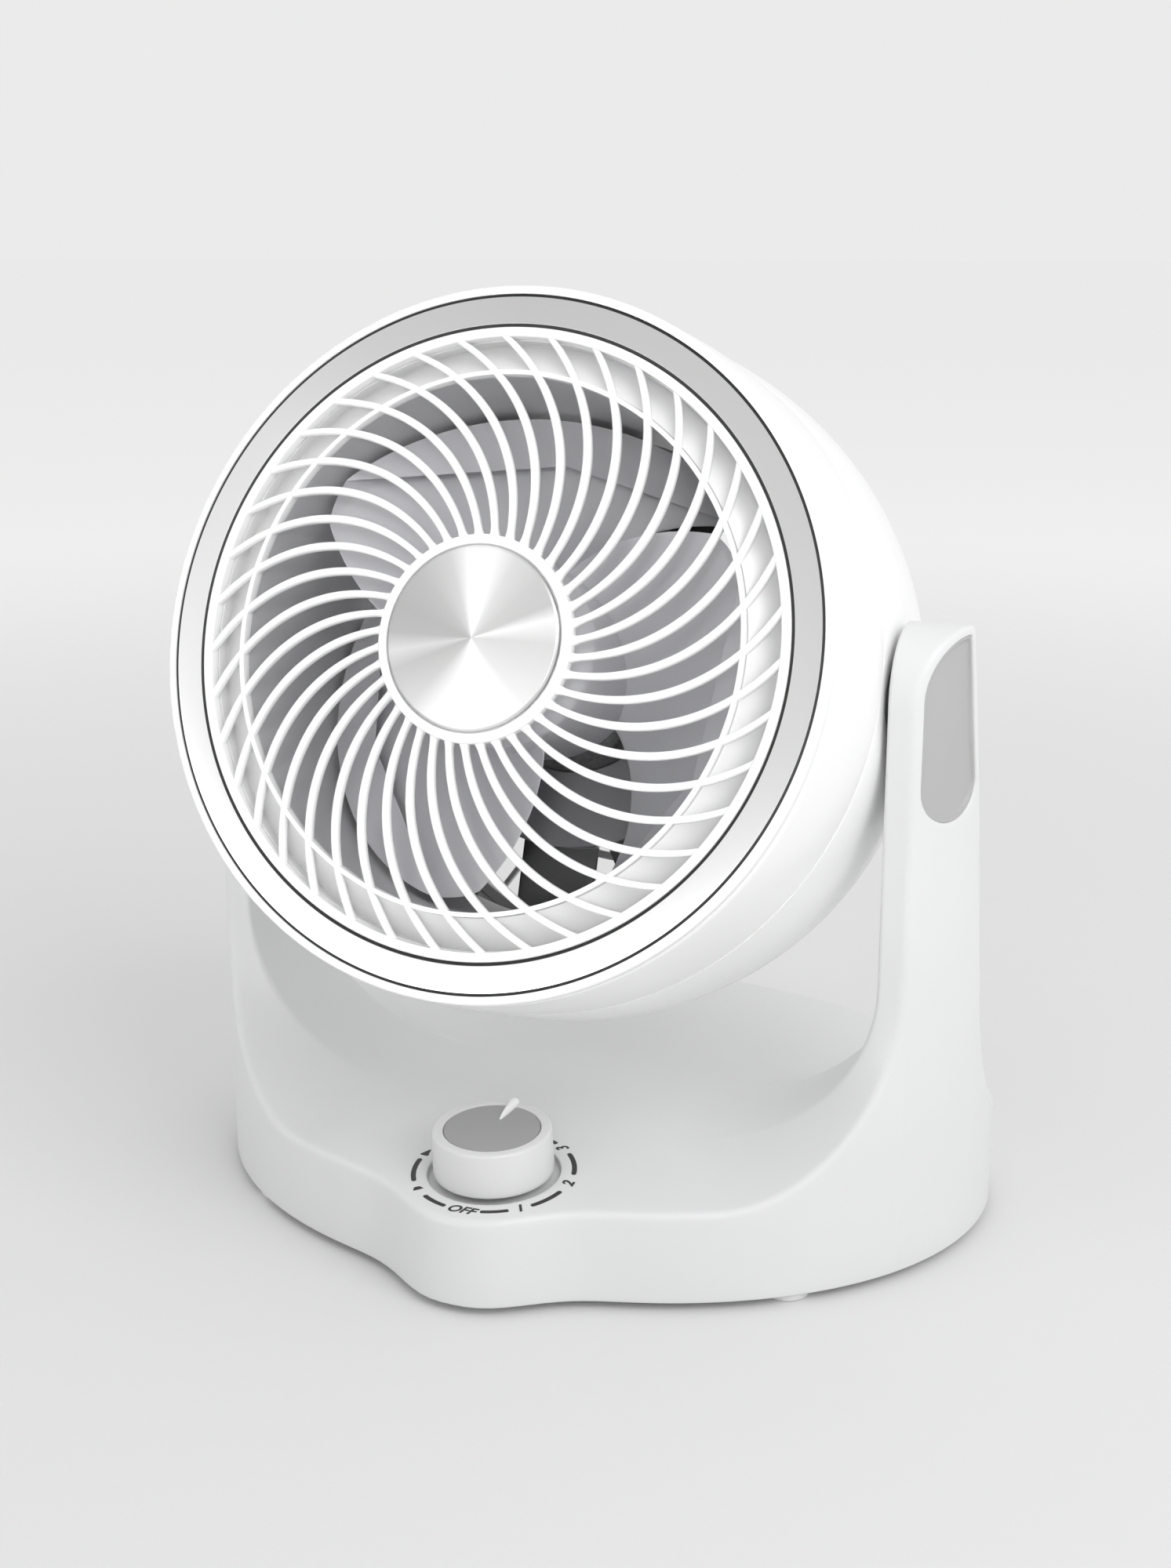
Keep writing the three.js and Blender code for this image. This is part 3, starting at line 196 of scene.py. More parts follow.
def in_scene(name, data):
    """A new object of the scene that shows the given data."""
    made = bpy.data.objects.new(name, data)
    bpy.context.scene.collection.objects.link(made)
    return made


def piece(name, grids, place, body, finish, stands_for=(), sharp=38.0):
    """
    One smooth mesh from grids of points in millimetres, welded where they meet, with its faces
    pointing out. `place` turns millimetres of the piece's own frame into metres of the model's.
    """
    windows = {}
    sheets = []
    for grid in grids:
        if isinstance(grid, tuple):
            windows[len(sheets)] = grid[1]
            grid = grid[0]
        sheets.append(np.asarray(grid, float))
    starts = np.cumsum([0] + [grid.shape[0] * grid.shape[1] for grid in sheets])
    points = place(np.concatenate([grid.reshape(-1, 3) for grid in sheets]))
    faces = np.concatenate([surface(grid, starts[k], windows.get(k)) for k, grid in enumerate(sheets)])
    mesh = bpy.data.meshes.new(name)
    mesh.from_pydata(points, [], faces.tolist())
    work = bmesh.new()
    work.from_mesh(mesh)
    bmesh.ops.remove_doubles(work, verts=work.verts, dist=4e-6)
    bmesh.ops.dissolve_degenerate(work, edges=work.edges, dist=1e-7)
    loose = [vertex for vertex in work.verts if not vertex.link_faces]
    bmesh.ops.delete(work, geom=loose, context="VERTS")
    bmesh.ops.recalc_face_normals(work, faces=work.faces)
    work.to_mesh(mesh)
    work.free()
    mesh.shade_smooth()
    mesh.set_sharp_from_angle(angle=radians(sharp))
    made = in_scene(name, mesh)
    mesh.materials.append(finish.material)
    if stands_for:
        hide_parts(*stands_for)
    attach(made, body)
    return made


half_width, front_depth, rear_depth = 149.0, 120.6, 102.0
bulge_stand, bulge_spread = 15.7, 27.2
deck_height, ledge_height, rim_height = 40.0, 35.5, 103.0
inner_gap, inner_sweep, inner_rise = 120.4, 75.0, 65.0
outer_sweep, rear_sweep = 50.0, 38.0
arm_front, arm_corner, arm_top = -59.0, 23.0, 225.0
arm_depth, arm_lean = 25.5, 0.13
rear_corner_depth, rear_corner_height = 2.5, 3.5
shell_foot = 3.0
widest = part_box("base_shell")[1].y * 1000 - rear_depth


def on_base(points):
    """Millimetres from the middle of the oval's widest line, at the ground, to metres."""
    return (points + np.array([0.0, widest, 0.0])) / 1000


def unit(vectors):
    """Vectors at a length of one."""
    return vectors / np.maximum(np.linalg.norm(vectors, axis=-1, keepdims=True), 1e-9)


def oval(x, depth):
    """Depth of the oval at a distance from the middle: depth times the root of 1 - (x / half width)^2."""
    return depth * np.sqrt(np.maximum(0, 1 - (x / half_width) ** 2))


def bulge(x):
    """How far the bulge stands out: a bell, stand times e to the minus (|x| / spread)^2.6."""
    return bulge_stand * np.exp(-((np.abs(x) / bulge_spread) ** 2.6))


def wall_x(y):
    """Half the oval's width at a distance behind its widest line."""
    return half_width * np.sqrt(np.maximum(0, 1 - (y / np.where(y < 0, front_depth, rear_depth)) ** 2))


def arm_rear(z):
    """The arm's rear edge, which leans back as it goes down."""
    return arm_front + arm_depth + (arm_top - rear_corner_height - z) * arm_lean


def wall_normal(points):
    """The way out of the oval wall: the slope of (x / a)^2 + ((y + bulge) / b)^2."""
    x, y = points[..., 0], points[..., 1]
    depth = np.where(y < 0, front_depth, rear_depth)
    stand = np.where(y < 0, bulge(x), 0.0)
    lean = -stand * 2.6 * np.sign(x) * np.abs(x / bulge_spread) ** 1.6 / bulge_spread
    across = x / half_width**2 + (y + stand) / depth**2 * lean
    return unit(np.stack([across, (y + stand) / depth**2, np.zeros_like(x)], -1))


def mirrored(right):
    """A curve from the middle to the right arm's top, with the same one on the left before it."""
    return np.concatenate([(right * [-1, 1, 1])[:0:-1], right])


def points_of(x, y, z):
    """Three rows of numbers as points."""
    return np.stack(np.broadcast_arrays(x, y, z), -1).astype(float)


# Where the shell's four long edges run, from the middle of the deck to the top of the right arm:
# the rim and the U in front, and the U and the rim behind. All go along the floor, round a quarter
# of an ellipse, up the arm and over its top.
collar_height = 150.0
floor = np.linspace(0, 1, 21)
sweep = np.linspace(0, pi / 2, 29)[1:]
collar_share = (collar_height - rim_height) / (arm_top - arm_corner - rim_height)
upright = np.r_[np.linspace(0, collar_share, 9)[1:], np.linspace(collar_share, 1, 15)[1:]]
over = np.linspace(0, 1, 17)[1:]
shoulder = arm_top - arm_corner
waist = len(floor) + len(sweep) - 1
collar_start = waist + 8

inner_x = np.r_[(inner_gap - inner_sweep) * floor, inner_gap - inner_sweep * (1 - np.sin(sweep)),
                np.full(len(upright) + len(over), inner_gap)]
inner_z = np.r_[deck_height + 0 * floor, deck_height + inner_rise * (1 - np.cos(sweep)),
                deck_height + inner_rise + (shoulder - deck_height - inner_rise) * upright]
rim_z = np.r_[ledge_height + 0 * floor, ledge_height + (rim_height - ledge_height) * (1 - np.cos(sweep)),
              rim_height + (shoulder - rim_height) * upright]
front_over = points_of(0, arm_front + arm_corner * (1 - np.cos(over * pi / 2)),
                       shoulder + arm_corner * np.sin(over * pi / 2))
lean_part = np.minimum(over * 2, 1)
corner_part = (1 - np.maximum(over * 2 - 1, 0)) * pi / 2
rear_over_z = np.where(over <= 0.5, shoulder + (arm_top - rear_corner_height - shoulder) * lean_part,
                       arm_top - rear_corner_height * (1 - np.cos(corner_part)))
ridge_y = arm_front + arm_corner
rear_over_y = np.where(over <= 0.5, arm_rear(rear_over_z), ridge_y + rear_corner_depth * np.sin(corner_part))

outer_reach = float(wall_x(np.array(arm_front)))
rim_x = np.r_[(outer_reach - outer_sweep) * floor, outer_reach - outer_sweep * (1 - np.sin(sweep)),
              np.full(len(upright), outer_reach)]
front_inner = points_of(inner_x, np.r_[np.full(len(rim_x), arm_front), front_over[:, 1]],
                        np.r_[inner_z, front_over[:, 2]])
rear_inner = points_of(inner_x, np.r_[arm_rear(inner_z), rear_over_y], np.r_[inner_z, rear_over_z])
front_rim = points_of(np.r_[rim_x, wall_x(front_over[:, 1])],
                      np.r_[np.minimum(-oval(rim_x, front_depth), arm_front), front_over[:, 1]],
                      np.r_[rim_z, front_over[:, 2]])

# The front ledge's lines are run out from the oval until they meet the bulge.
run_out = np.ones(len(front_rim))
for _ in range(12):
    reached = front_inner[:, 0] + (front_rim[:, 0] - front_inner[:, 0]) * run_out
    goal = arm_front + oval(reached, front_depth) + bulge(reached)
    span = np.maximum(arm_front - front_rim[:, 1], 1e-6)
    run_out = np.where(np.arange(len(run_out)) < len(floor) + 12, goal / span, 1.0)
front_rim = front_inner + (front_rim - front_inner) * run_out[:, None]

rear_start = arm_rear(rim_height)
level_turn = np.arcsin((rear_start + rear_sweep) / rear_depth)
level_angle = pi / 2 + (level_turn - pi / 2) * floor
sweep_y = rear_start + rear_sweep * (1 - np.sin(sweep))
sweep_z = deck_height + (rim_height - deck_height) * (1 - np.cos(sweep))
up_z = rim_height + (shoulder - rim_height) * upright
rear_rim = np.concatenate([
    points_of(half_width * np.cos(level_angle), rear_depth * np.sin(level_angle), deck_height),
    points_of(wall_x(sweep_y), sweep_y, sweep_z),
    points_of(wall_x(arm_rear(up_z)), arm_rear(up_z), up_z),
    points_of(wall_x(rear_over_y), rear_over_y, rear_over_z)])

sweep_slope = np.r_[np.zeros(len(floor)), sweep, np.full(len(upright) + len(over), pi / 2)]
channel_normal = mirrored(unit(points_of(-inner_rise * np.sin(sweep_slope), 0,
                                         inner_sweep * np.cos(sweep_slope))))
front_rim, front_inner, rear_inner, rear_rim = map(mirrored, (front_rim, front_inner, rear_inner, rear_rim))
middle = len(rear_over_y) + len(upright) + len(sweep) + len(floor) - 1


def along(curve):
    """The direction of a curve at its points: the mean of the steps before and after."""
    steps = unit(np.diff(curve, axis=0))
    return unit(np.concatenate([steps[:1], steps]) + np.concatenate([steps, steps[-1:]]))


def lines(first, last, shares):
    """Points on the straight lines between two curves, at the given shares of the way."""
    return first[:, None] + (last - first)[:, None] * np.asarray(shares)[None, :, None]


def rounding(before, corner, after, steps=7):
    """A soft edge: the curve (1 - t)^2 A + 2 t (1 - t) C + t^2 B from one face to the next."""
    t = np.linspace(0, 1, steps)[None, :, None]
    return before[:, None] * (1 - t) ** 2 + corner[:, None] * 2 * t * (1 - t) + after[:, None] * t**2


height_share = np.clip((front_rim[:, 2] - 60) / 100, 0, 1)[:, None]
rim_round = 2.8 - 0.9 * height_share
inner_round = 2.0 - 0.5 * height_share
ledge_way = unit(front_inner - front_rim)
rear_way = unit(rear_inner - rear_rim)
front_wall = front_rim - rim_round * np.cross(wall_normal(front_rim), along(front_rim))
rear_wall = rear_rim + rim_round * np.cross(wall_normal(rear_rim), along(rear_rim))
front_side = front_inner + inner_round * np.cross(channel_normal, along(front_inner))
rear_side = rear_inner - inner_round * np.cross(channel_normal, along(rear_inner))
for end in (0, -1):
    front_wall[end] = rear_wall[end] = (front_wall[end] + rear_wall[end]) / 2
    front_side[end] = rear_side[end] = (front_side[end] + rear_side[end]) / 2
ledge = [front_rim + ledge_way * rim_round, front_inner - ledge_way * inner_round]
rear_deck = [rear_inner - rear_way * inner_round, rear_rim + rear_way * rim_round]
ledge_shares = np.linspace(0, 1, 27)[1:-1]
skin = np.concatenate([
    rounding(front_wall, front_rim, ledge[0]), lines(*ledge, ledge_shares),
    rounding(ledge[1], front_inner, front_side), lines(front_side, rear_side, np.linspace(0, 1, 15)[1:-1]),
    rounding(rear_side, rear_inner, rear_deck[0]), lines(*rear_deck, np.linspace(0, 1, 25)[1:-1]),
    rounding(rear_deck[1], rear_rim, rear_wall)], axis=1)


def border(grid, window):
    """The points round a window of a grid, once round and back to the first."""
    rows, columns = window
    block = grid[rows.start:rows.stop + 1, columns.start:columns.stop + 1]
    return np.concatenate([block[:-1, 0], block[-1, :-1], block[:0:-1, -1], block[0, ::-1]])


# The round recess under the knob: a window in the ledge, filled out to a circle about the knob.
knob_forward, pocket_radius, pocket_depth = 102.0, 22.9, 2.3
ledge_slope = (deck_height - ledge_height) / (front_depth + arm_front)
ledge_tilt = float(np.arctan(ledge_slope))
knob_plane = deck_height - (arm_front + knob_forward) * ledge_slope
knob_axes = np.array([[1, 0, 0],
                      [0, cos(ledge_tilt), sin(ledge_tilt)],
                      [0, -sin(ledge_tilt), cos(ledge_tilt)]])


def on_knob(points):
    """Millimetres from the knob's axis, with the ledge as the ground, to metres."""
    return on_base(points @ knob_axes + np.array([0.0, -knob_forward, knob_plane]))


def rings_in(outer, centre, radii, heights, axes):
    """Loops from an outline in to a centre, each at a radius of its own and in the outline's directions."""
    local = (outer - centre) @ axes.T
    angle = np.arctan2(local[:, 1], local[:, 0])
    ring = np.stack([np.cos(angle), np.sin(angle), 0 * angle], -1)
    return [centre + (ring * radius + [0, 0, height]) @ axes for radius, height in zip(radii, heights)]


def filled(outer, inner_loops, steps=6):
    """A collar from an outline to the first of the inner loops, and on through the others."""
    shares = np.linspace(0, 1, steps)[:-1]
    between = [outer + (inner_loops[0] - outer) * share for share in shares]
    return np.stack(between + list(inner_loops))


knob_window = (slice(middle - 11, middle + 11), slice(8, 28))
knob_centre = np.array([0.0, -knob_forward, knob_plane])
pocket_profile = [(0.5, 0), (0.35, -0.05), (0.15, -0.2), (0, -0.5), (0, -pocket_depth + 0.4),
                  (-0.4, -pocket_depth)]
pocket_radii = [pocket_radius + step for step, _ in pocket_profile] + [8.0, 0.0]
pocket_heights = [height for _, height in pocket_profile] + [-pocket_depth, -pocket_depth]
knob_border = border(skin, knob_window)
pocket_loops = rings_in(knob_border, knob_centre, pocket_radii, pocket_heights, knob_axes)

# The outer wall: a band below the rims, all round the oval, and a strip up each arm.
right_waist, left_waist = middle + waist, middle - waist
right_row, left_row = slice(right_waist, right_waist + 1), slice(left_waist, left_waist + 1)
across_arm = np.linspace(0, 1, 13)
arm_steps = len(across_arm) - 1
band_top = np.concatenate([
    front_wall[left_waist:right_waist],
    lines(front_wall[right_row], rear_wall[right_row], across_arm[:-1])[0],
    rear_wall[right_waist:left_waist:-1],
    lines(rear_wall[left_row], front_wall[left_row], across_arm)[0]])


def onto_wall(points, inset=0.0):
    """Moves points of an arm's side sideways onto the oval wall, or a little inside it."""
    moved = points.copy()
    moved[..., 0] = np.sign(points[..., 0]) * (wall_x(points[..., 1]) - inset)
    return moved


front_rows = right_waist - left_waist
for arm_row in (slice(front_rows, front_rows + arm_steps), slice(-arm_steps - 1, None)):
    band_top[arm_row] = onto_wall(band_top[arm_row])
outward = wall_normal(band_top)
foot_round, shell_wall, cavity_top = 0.9, 3.0, 30.0
turn = np.linspace(0, pi / 2, 5)[:, None, None]
down = np.linspace(0, 1, 16)[:, None, None] ** 0.9
foot_line = band_top * [1, 1, 0] + [0, 0, shell_foot]
side = band_top + (foot_line + [0, 0, foot_round] - band_top) * down
foot_edge = (foot_line - outward * foot_round * (1 - np.cos(turn))
             + np.array([0, 0, 1]) * foot_round * (1 - np.sin(turn)))
inside_foot = foot_line - outward * shell_wall
ceiling = inside_foot * [1, 1, 0] + [0, 0, cavity_top - 2]
ceiling_middle = np.broadcast_to([0, 0, cavity_top - 2], ceiling.shape)
band = np.concatenate([side, foot_edge[1:], inside_foot[None], ceiling[None],
                       (ceiling + ceiling_middle)[None] / 2, ceiling_middle[None]])

# The hole for the cord inlet is a window in the rear of the band.
inlet_height, inlet_radius = 18.8, 6.3
rear_middle = front_rows + arm_steps + (right_waist - middle)
inlet_rows = np.flatnonzero((side[:, rear_middle, 2] < 31) & (side[:, rear_middle, 2] > 7.5))
inlet_columns = np.flatnonzero(np.abs(band_top[:, 0]) < 17)
inlet_columns = inlet_columns[np.abs(inlet_columns - rear_middle) < 12]
inlet_window = (slice(inlet_rows[0], inlet_rows[-1]), slice(inlet_columns[0], inlet_columns[-1]))
inlet_axes = np.array([[1.0, 0, 0], [0, 0, -1], [0, 1, 0]])
inlet_profile = [(0.5, 0), (0.15, -0.15), (0, -0.5), (0, -2.6), (-3, -2.6), (-inlet_radius, -2.6)]
inlet_outer = border(band, inlet_window)
inlet_radii = [inlet_radius + step for step, _ in inlet_profile]
inlet_depths = [height for _, height in inlet_profile]
inlet_centre = np.array([0.0, rear_depth, inlet_height])
inlet_loops = rings_in(inlet_outer, inlet_centre, inlet_radii, inlet_depths, inlet_axes)
inlet_loops[0][:, 1] = oval(inlet_loops[0][:, 0], rear_depth)


# The recess in each arm's outer side follows the arm's outline and has a round lower end.
recess_margin, recess_depth, recess_bottom, recess_end = 2.6, 2.4, 160.0, 13.0


def recess_outline(margin, steps=60):
    """The arm's outline drawn in by a margin, over the top and round a half ellipse, as rows of y and z."""
    arc = np.linspace(0, pi / 2, steps)
    centre = arm_front + arm_corner
    bend = arm_corner - margin
    front = np.stack([centre - bend * np.cos(arc), shoulder + bend * np.sin(arc)], -1)
    corner = 0.9
    top = arm_top - margin - corner
    back_y = arm_rear(top) - margin
    back = np.stack([back_y - corner * (1 - np.cos(arc[::-1])), top + corner * np.sin(arc[::-1])], -1)
    joint_z = recess_bottom + recess_end
    low, high = arm_front + margin, arm_rear(joint_z) - margin
    turned = np.linspace(0, pi, 2 * steps)
    end = recess_end - margin + recess_margin
    mid, half = (low + high) / 2, (high - low) / 2
    below = np.stack([mid + half * np.cos(turned), joint_z - end * np.sin(turned)], -1)
    start = np.linspace([low, joint_z], [low, shoulder], steps)[1:-1]
    fall = np.linspace([back_y, top], [high, joint_z], steps)[1:-1]
    return np.concatenate([start, front, back, fall, below])


recess_centre = np.array([-43.0, 190.0])


def at_angles(outline, angles):
    """The points of an outline that lie in given directions from the recess's centre."""
    arm = outline - recess_centre
    direction, reach = np.arctan2(arm[:, 1], arm[:, 0]), np.hypot(arm[:, 0], arm[:, 1])
    order = np.argsort(direction)
    found = np.interp(angles, direction[order], reach[order], period=2 * pi)
    return recess_centre + found[:, None] * np.stack([np.cos(angles), np.sin(angles)], -1)


def arm_side(right):
    """The wall of one arm: rows up to the collar, the collar round the recess, and the recess."""
    sign = 1 if right else -1
    first, last = middle + sign * waist, middle + sign * collar_start
    rows = np.arange(first, last + sign, sign)
    strip = onto_wall(lines(front_wall[rows], rear_wall[rows], across_arm))
    end = len(front_wall) - 1 if right else 0
    up = np.arange(last, end + sign, sign)
    outer = np.concatenate([strip[-1, :-1], rear_wall[up][:-1], front_wall[up][::-1]])
    flat = outer[:, 1:]
    angles = np.arctan2(flat[:, 1] - recess_centre[1], flat[:, 0] - recess_centre[0])
    edge = at_angles(recess_outline(recess_margin), angles)
    inward = unit(recess_centre - edge)
    steps = [(0.0, 0.0), (0.12, 0.05), (0.3, 0.3), (0.3, recess_depth), (6.0, recess_depth)]
    loops = [flat + (edge - flat) * share for share in np.linspace(0, 1, 6)[:-1]]
    loops += [edge + inward * step for step, _ in steps] + [np.broadcast_to(recess_centre, edge.shape)]
    depths = [0.0] * 5 + [depth for _, depth in steps] + [recess_depth]
    collar = np.stack([onto_wall(np.column_stack([np.full(len(loop), sign * 1.0), loop]), depth)
                       for loop, depth in zip(loops, depths)])
    collar[0] = outer
    return [strip, collar]


satin_white = moulded("satin_white_moulding", 0.75, 0.79, 0.36, 4e-6, 1.2e-5, (0.992, 0.998, 1.0))
base_grids = [(skin, knob_window), filled(knob_border, pocket_loops),
              (band, inlet_window), filled(inlet_outer, inlet_loops)]
piece("base_moulding", base_grids + arm_side(True) + arm_side(False), on_base, "base",
      satin_white, ["base_shell"])


# ---------------------------------------------------------------- pivot covers
# A grey tray snaps into the recess on the outer side of each arm and hides the pivot bolt. It is
# moulded with a narrow raised rim that lies just below the arm's surface.
cover_gap, cover_rim, cover_sink, tray_sink = 0.3, 1.5, 0.5, 1.5


def tray(sign):
    """Loops from the middle of the tray's floor out over its rim and round to its back."""
    angles = np.linspace(-pi, pi, 181)
    edge = at_angles(recess_outline(recess_margin + cover_gap), angles)
    inward = unit(recess_centre - edge)
    steps = [(cover_rim + 0.9, tray_sink), (cover_rim + 0.45, tray_sink - 0.06),
             (cover_rim + 0.12, tray_sink - 0.35), (cover_rim, cover_sink + 0.3),
             (cover_rim - 0.1, cover_sink + 0.08), (cover_rim - 0.35, cover_sink), (0.4, cover_sink),
             (0.1, cover_sink + 0.1), (0, cover_sink + 0.4), (0, recess_depth - 0.1)]
    out = edge + inward * steps[0][0] - recess_centre
    loops = [recess_centre + out * share for share in (0, 0.3, 0.6, 0.85)]
    loops += [edge + inward * step for step, _ in steps] + [np.broadcast_to(recess_centre, edge.shape)]
    depths = [tray_sink] * 4 + [depth for _, depth in steps] + [recess_depth - 0.1]
    return np.stack([onto_wall(np.column_stack([np.full(len(loop), sign * 1.0), loop]), depth)
                     for loop, depth in zip(loops, depths)])


cover_plastic = moulded("pivot_cover_grey", 0.43, 0.47, 0.42, 9e-6, 6e-6)
for word, sign in (("left", -1), ("right", 1)):
    piece(f"pivot_tray_{word}", [tray(sign)], on_base, "base", cover_plastic,
          [f"pivot_cover_{word}"])


# ---------------------------------------------------------------- feet and cord inlet
# Four pale rubber feet are pressed under the base, and a black bushing in the rear wall is where the
# mains lead would come through. The bottom plate, a thin white moulding, keeps its plain solid.

def soften(profile, radius, steps=5):
    """An outline of radii and heights whose inner corners are rounded off, each by a curve of its own."""
    points = np.asarray(profile, float)
    before, corner, after = points[:-2], points[1:-1], points[2:]
    reach = lambda far: np.minimum(radius, 0.45 * np.linalg.norm(far - corner, axis=1))[:, None]
    bends = rounding(corner + unit(before - corner) * reach(before), corner,
                     corner + unit(after - corner) * reach(after), steps)
    return np.concatenate([points[:1], bends.reshape(-1, 2), points[-1:]])


def lathe(profile, sides=144):
    """An outline carried round the axis: x = r cos a, y = r sin a, z = h."""
    angle = np.linspace(0, 2 * pi, sides + 1)
    radius, height = np.asarray(profile, float).T[:, :, None]
    return points_of(radius * np.cos(angle), radius * np.sin(angle), height)


def closed(profile):
    """An outline that comes back to where it starts."""
    return np.concatenate([profile, profile[:1]])


foot_rubber = moulded("foot_rubber", 0.7, 0.78, 0.6, 1.5e-5, 5e-6)
for number in range(1, 5):
    low, high = (np.array(corner) * 1000 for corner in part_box(f"foot_{number}"))
    centre = (low + high) / 2
    pad = soften([(0, 0), (8, 0), (8, 3.4), (0, 3.4)], 1.0)
    piece(f"foot_pad_{number}", [lathe(pad, 48)], lambda points: (points + [centre[0], centre[1], 0]) / 1000,
          "base", foot_rubber, [f"foot_{number}"])

black_plastic = moulded("black_moulding", 0.02, 0.03, 0.5, 1e-5, 1e-5)
bushing = soften([(0, -2.4), (4, -2.4), (4, -0.7), (6.1, -0.7), (6.1, -3.5), (0, -3.5)], 0.4)
piece("inlet_bushing", [lathe(bushing, 64)],
      lambda points: on_base(points @ inlet_axes + inlet_centre),
      "base", black_plastic, ["cord_inlet"])


# ---------------------------------------------------------------- knob
# A white cup with a soft edge, a grey satin disc let into its top and a raised white pointer that
# runs from near the middle to the rear edge. It stands in the round recess, on the switch's shaft.
knob_radius, knob_top = 20.8, 16.7
insert_radius, insert_sink = 16.5, 0.5
gloss = {"roughness": 0.26, "mottle": 0.02, "grain": 1e-6, "orange_peel": 1.2e-6,
         "tint": (0.997, 0.999, 1.0)}
gloss_white = moulded("gloss_white_moulding", 0.93, 0.96, Coat_Weight=0.2, **gloss)
# Painted shade: the knob's cup is a greyer white than the other gloss mouldings, for the shade of the head above
# it.
knob_white_painted_shade = moulded("knob_white_moulding", 0.72, 0.76, **gloss)
cup = np.concatenate([
    soften([(0, 15.3), (insert_radius + 0.25, 15.3), (insert_radius + 0.25, knob_top - 0.1),
            (knob_radius - 0.4, knob_top - 0.35), (knob_radius, 3.0), (knob_radius - 0.1, 0.4),
            (knob_radius - 3, 0.4), (knob_radius - 3, 12), (0, 12)], 1.0)])
piece("knob_cup", [lathe(cup)], on_knob, "knob", knob_white_painted_shade, ["knob"])

insert_plastic = moulded("knob_insert_grey", 0.34, 0.37, 0.34, 5e-6, 8e-6)
disc = soften([(0, knob_top - insert_sink), (insert_radius, knob_top - insert_sink), (insert_radius, 15.5),
               (0, 15.5)], 0.3)
piece("knob_disc", [lathe(disc)], on_knob, "knob", insert_plastic, ["knob_insert"])


def pointer(inner, outer, half, rise):
    """
    A ridge along the knob's radius: its half width and its height follow a leaf, sin of the share
    to the power 0.55 at the inner tip, and its section is a half ellipse that sinks into the disc.
    """
    share = np.linspace(0, 1, 33)[:, None]
    round_angle = np.linspace(0, 2 * pi, 25)[None, :]
    leaf = np.sin(np.minimum(share * 1.9, pi / 2)) ** 0.55 * np.minimum((1 - share) * 9, 1) ** 0.5
    y = inner + (outer - inner) * share + 0 * round_angle
    x = half * leaf * np.cos(round_angle) * (0.75 + 0.25 * share)
    z = knob_top - insert_sink + rise * leaf * np.sin(round_angle)
    return points_of(x, y, z)


piece("knob_pointer", [pointer(knob_radius - 14.6, knob_radius + 0.1, 1.7, 2.2)], on_knob, "knob",
      gloss_white)


# ---------------------------------------------------------------- dial print
# Black printing on the ledge round the knob: OFF in front and three speeds to its right, with
# curved bars between them and a wedge and a tick on the left. It is a film of ink.
dial_radius, bar_half, ink_rise, ink_depth = 27.6, 0.85, 0.06, 0.15
ink = moulded("dial_ink", 0.012, 0.02, 0.42, 4e-6, 2e-6)


def dial_bar(start, end, half=bar_half, narrow=1.0):
    """A bar with round ends, bent round the knob's axis between two angles. It may start narrower."""
    share = np.linspace(0, 1, 41)[:, None]
    across = np.linspace(-1, 1, 5)[None, :]
    taper = np.sqrt(np.clip(1 - np.abs(share * 2 - 1) ** 24, 0, 1)) * (narrow + (1 - narrow) * share)
    angle = np.radians(start + (end - start) * share) + 0 * across
    radius = dial_radius + half * across * taper
    top = points_of(radius * np.cos(angle), radius * np.sin(angle), ink_rise)
    bottom = top - [0, 0, ink_rise + ink_depth]
    return np.concatenate([top, bottom[:, ::-1]], axis=1)[:, np.r_[0:10, 0]]


bars = [(182, 215), (237, 259), (285, 305), (321, 349), (13, 45), (62, 76)]
wedge, tick = dial_bar(168, 177, 1.7, 0.1), dial_bar(223.5, 227.5, 1.9, 0.5)
piece("dial_bars", [dial_bar(*ends) for ends in bars] + [wedge, tick], on_knob, "base", ink)


def dial_word(name, text, angle, size):
    """A word of the print, whose middle lies at an angle round the knob and whose feet point out."""
    curve = bpy.data.curves.new(name, "FONT")
    curve.body = text
    curve.size = size
    curve.align_x = "CENTER"
    curve.align_y = "CENTER"
    curve.extrude = ink_rise
    curve.offset = 0.028 * size
    curve.shear = 0.25
    source = in_scene(name + "_outline", curve)
    bpy.context.view_layer.update()
    mesh = bpy.data.meshes.new_from_object(source.evaluated_get(bpy.context.evaluated_depsgraph_get()))
    bpy.data.objects.remove(source)
    points = np.empty(len(mesh.vertices) * 3)
    mesh.vertices.foreach_get("co", points)
    points = points.reshape(-1, 3)
    turned = radians(angle + 90)
    spin = np.array([[cos(turned), sin(turned), 0], [-sin(turned), cos(turned), 0], [0, 0, 1]])
    centre = np.array([dial_radius * cos(radians(angle)), dial_radius * sin(radians(angle)), 0])
    mesh.vertices.foreach_set("co", on_knob(points @ spin + centre).ravel())
    made = in_scene(name, mesh)
    mesh.materials.clear()
    mesh.materials.append(ink.material)
    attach(made, "base")


for name, text, angle, size in (("dial_off", "OFF", 271.5, 5.6), ("dial_one", "1", 312.5, 5.8),
                                ("dial_two", "2", 0.5, 5.8), ("dial_three", "3", 53.5, 5.8)):
    dial_word(name, text, angle, size)


# ---------------------------------------------------------------- drum
# The head's drum is two glossy white mouldings that meet at a fine seam. The front one carries the
# rings and the sloping white plate round the throat. The rear one has a flat at each pivot.
axis = np.array(joints["fan_spin"]["axis"])
ring_centre = np.array(joints["fan_spin"]["pos_m"]) * 1000
head_axes = np.array([[1.0, 0, 0], np.cross(axis, [1.0, 0, 0]), axis])


def on_head(points):
    """Millimetres from the middle of the ring's face, with the fan's axis as Z, to metres."""
    return (points @ head_axes + ring_centre) / 1000


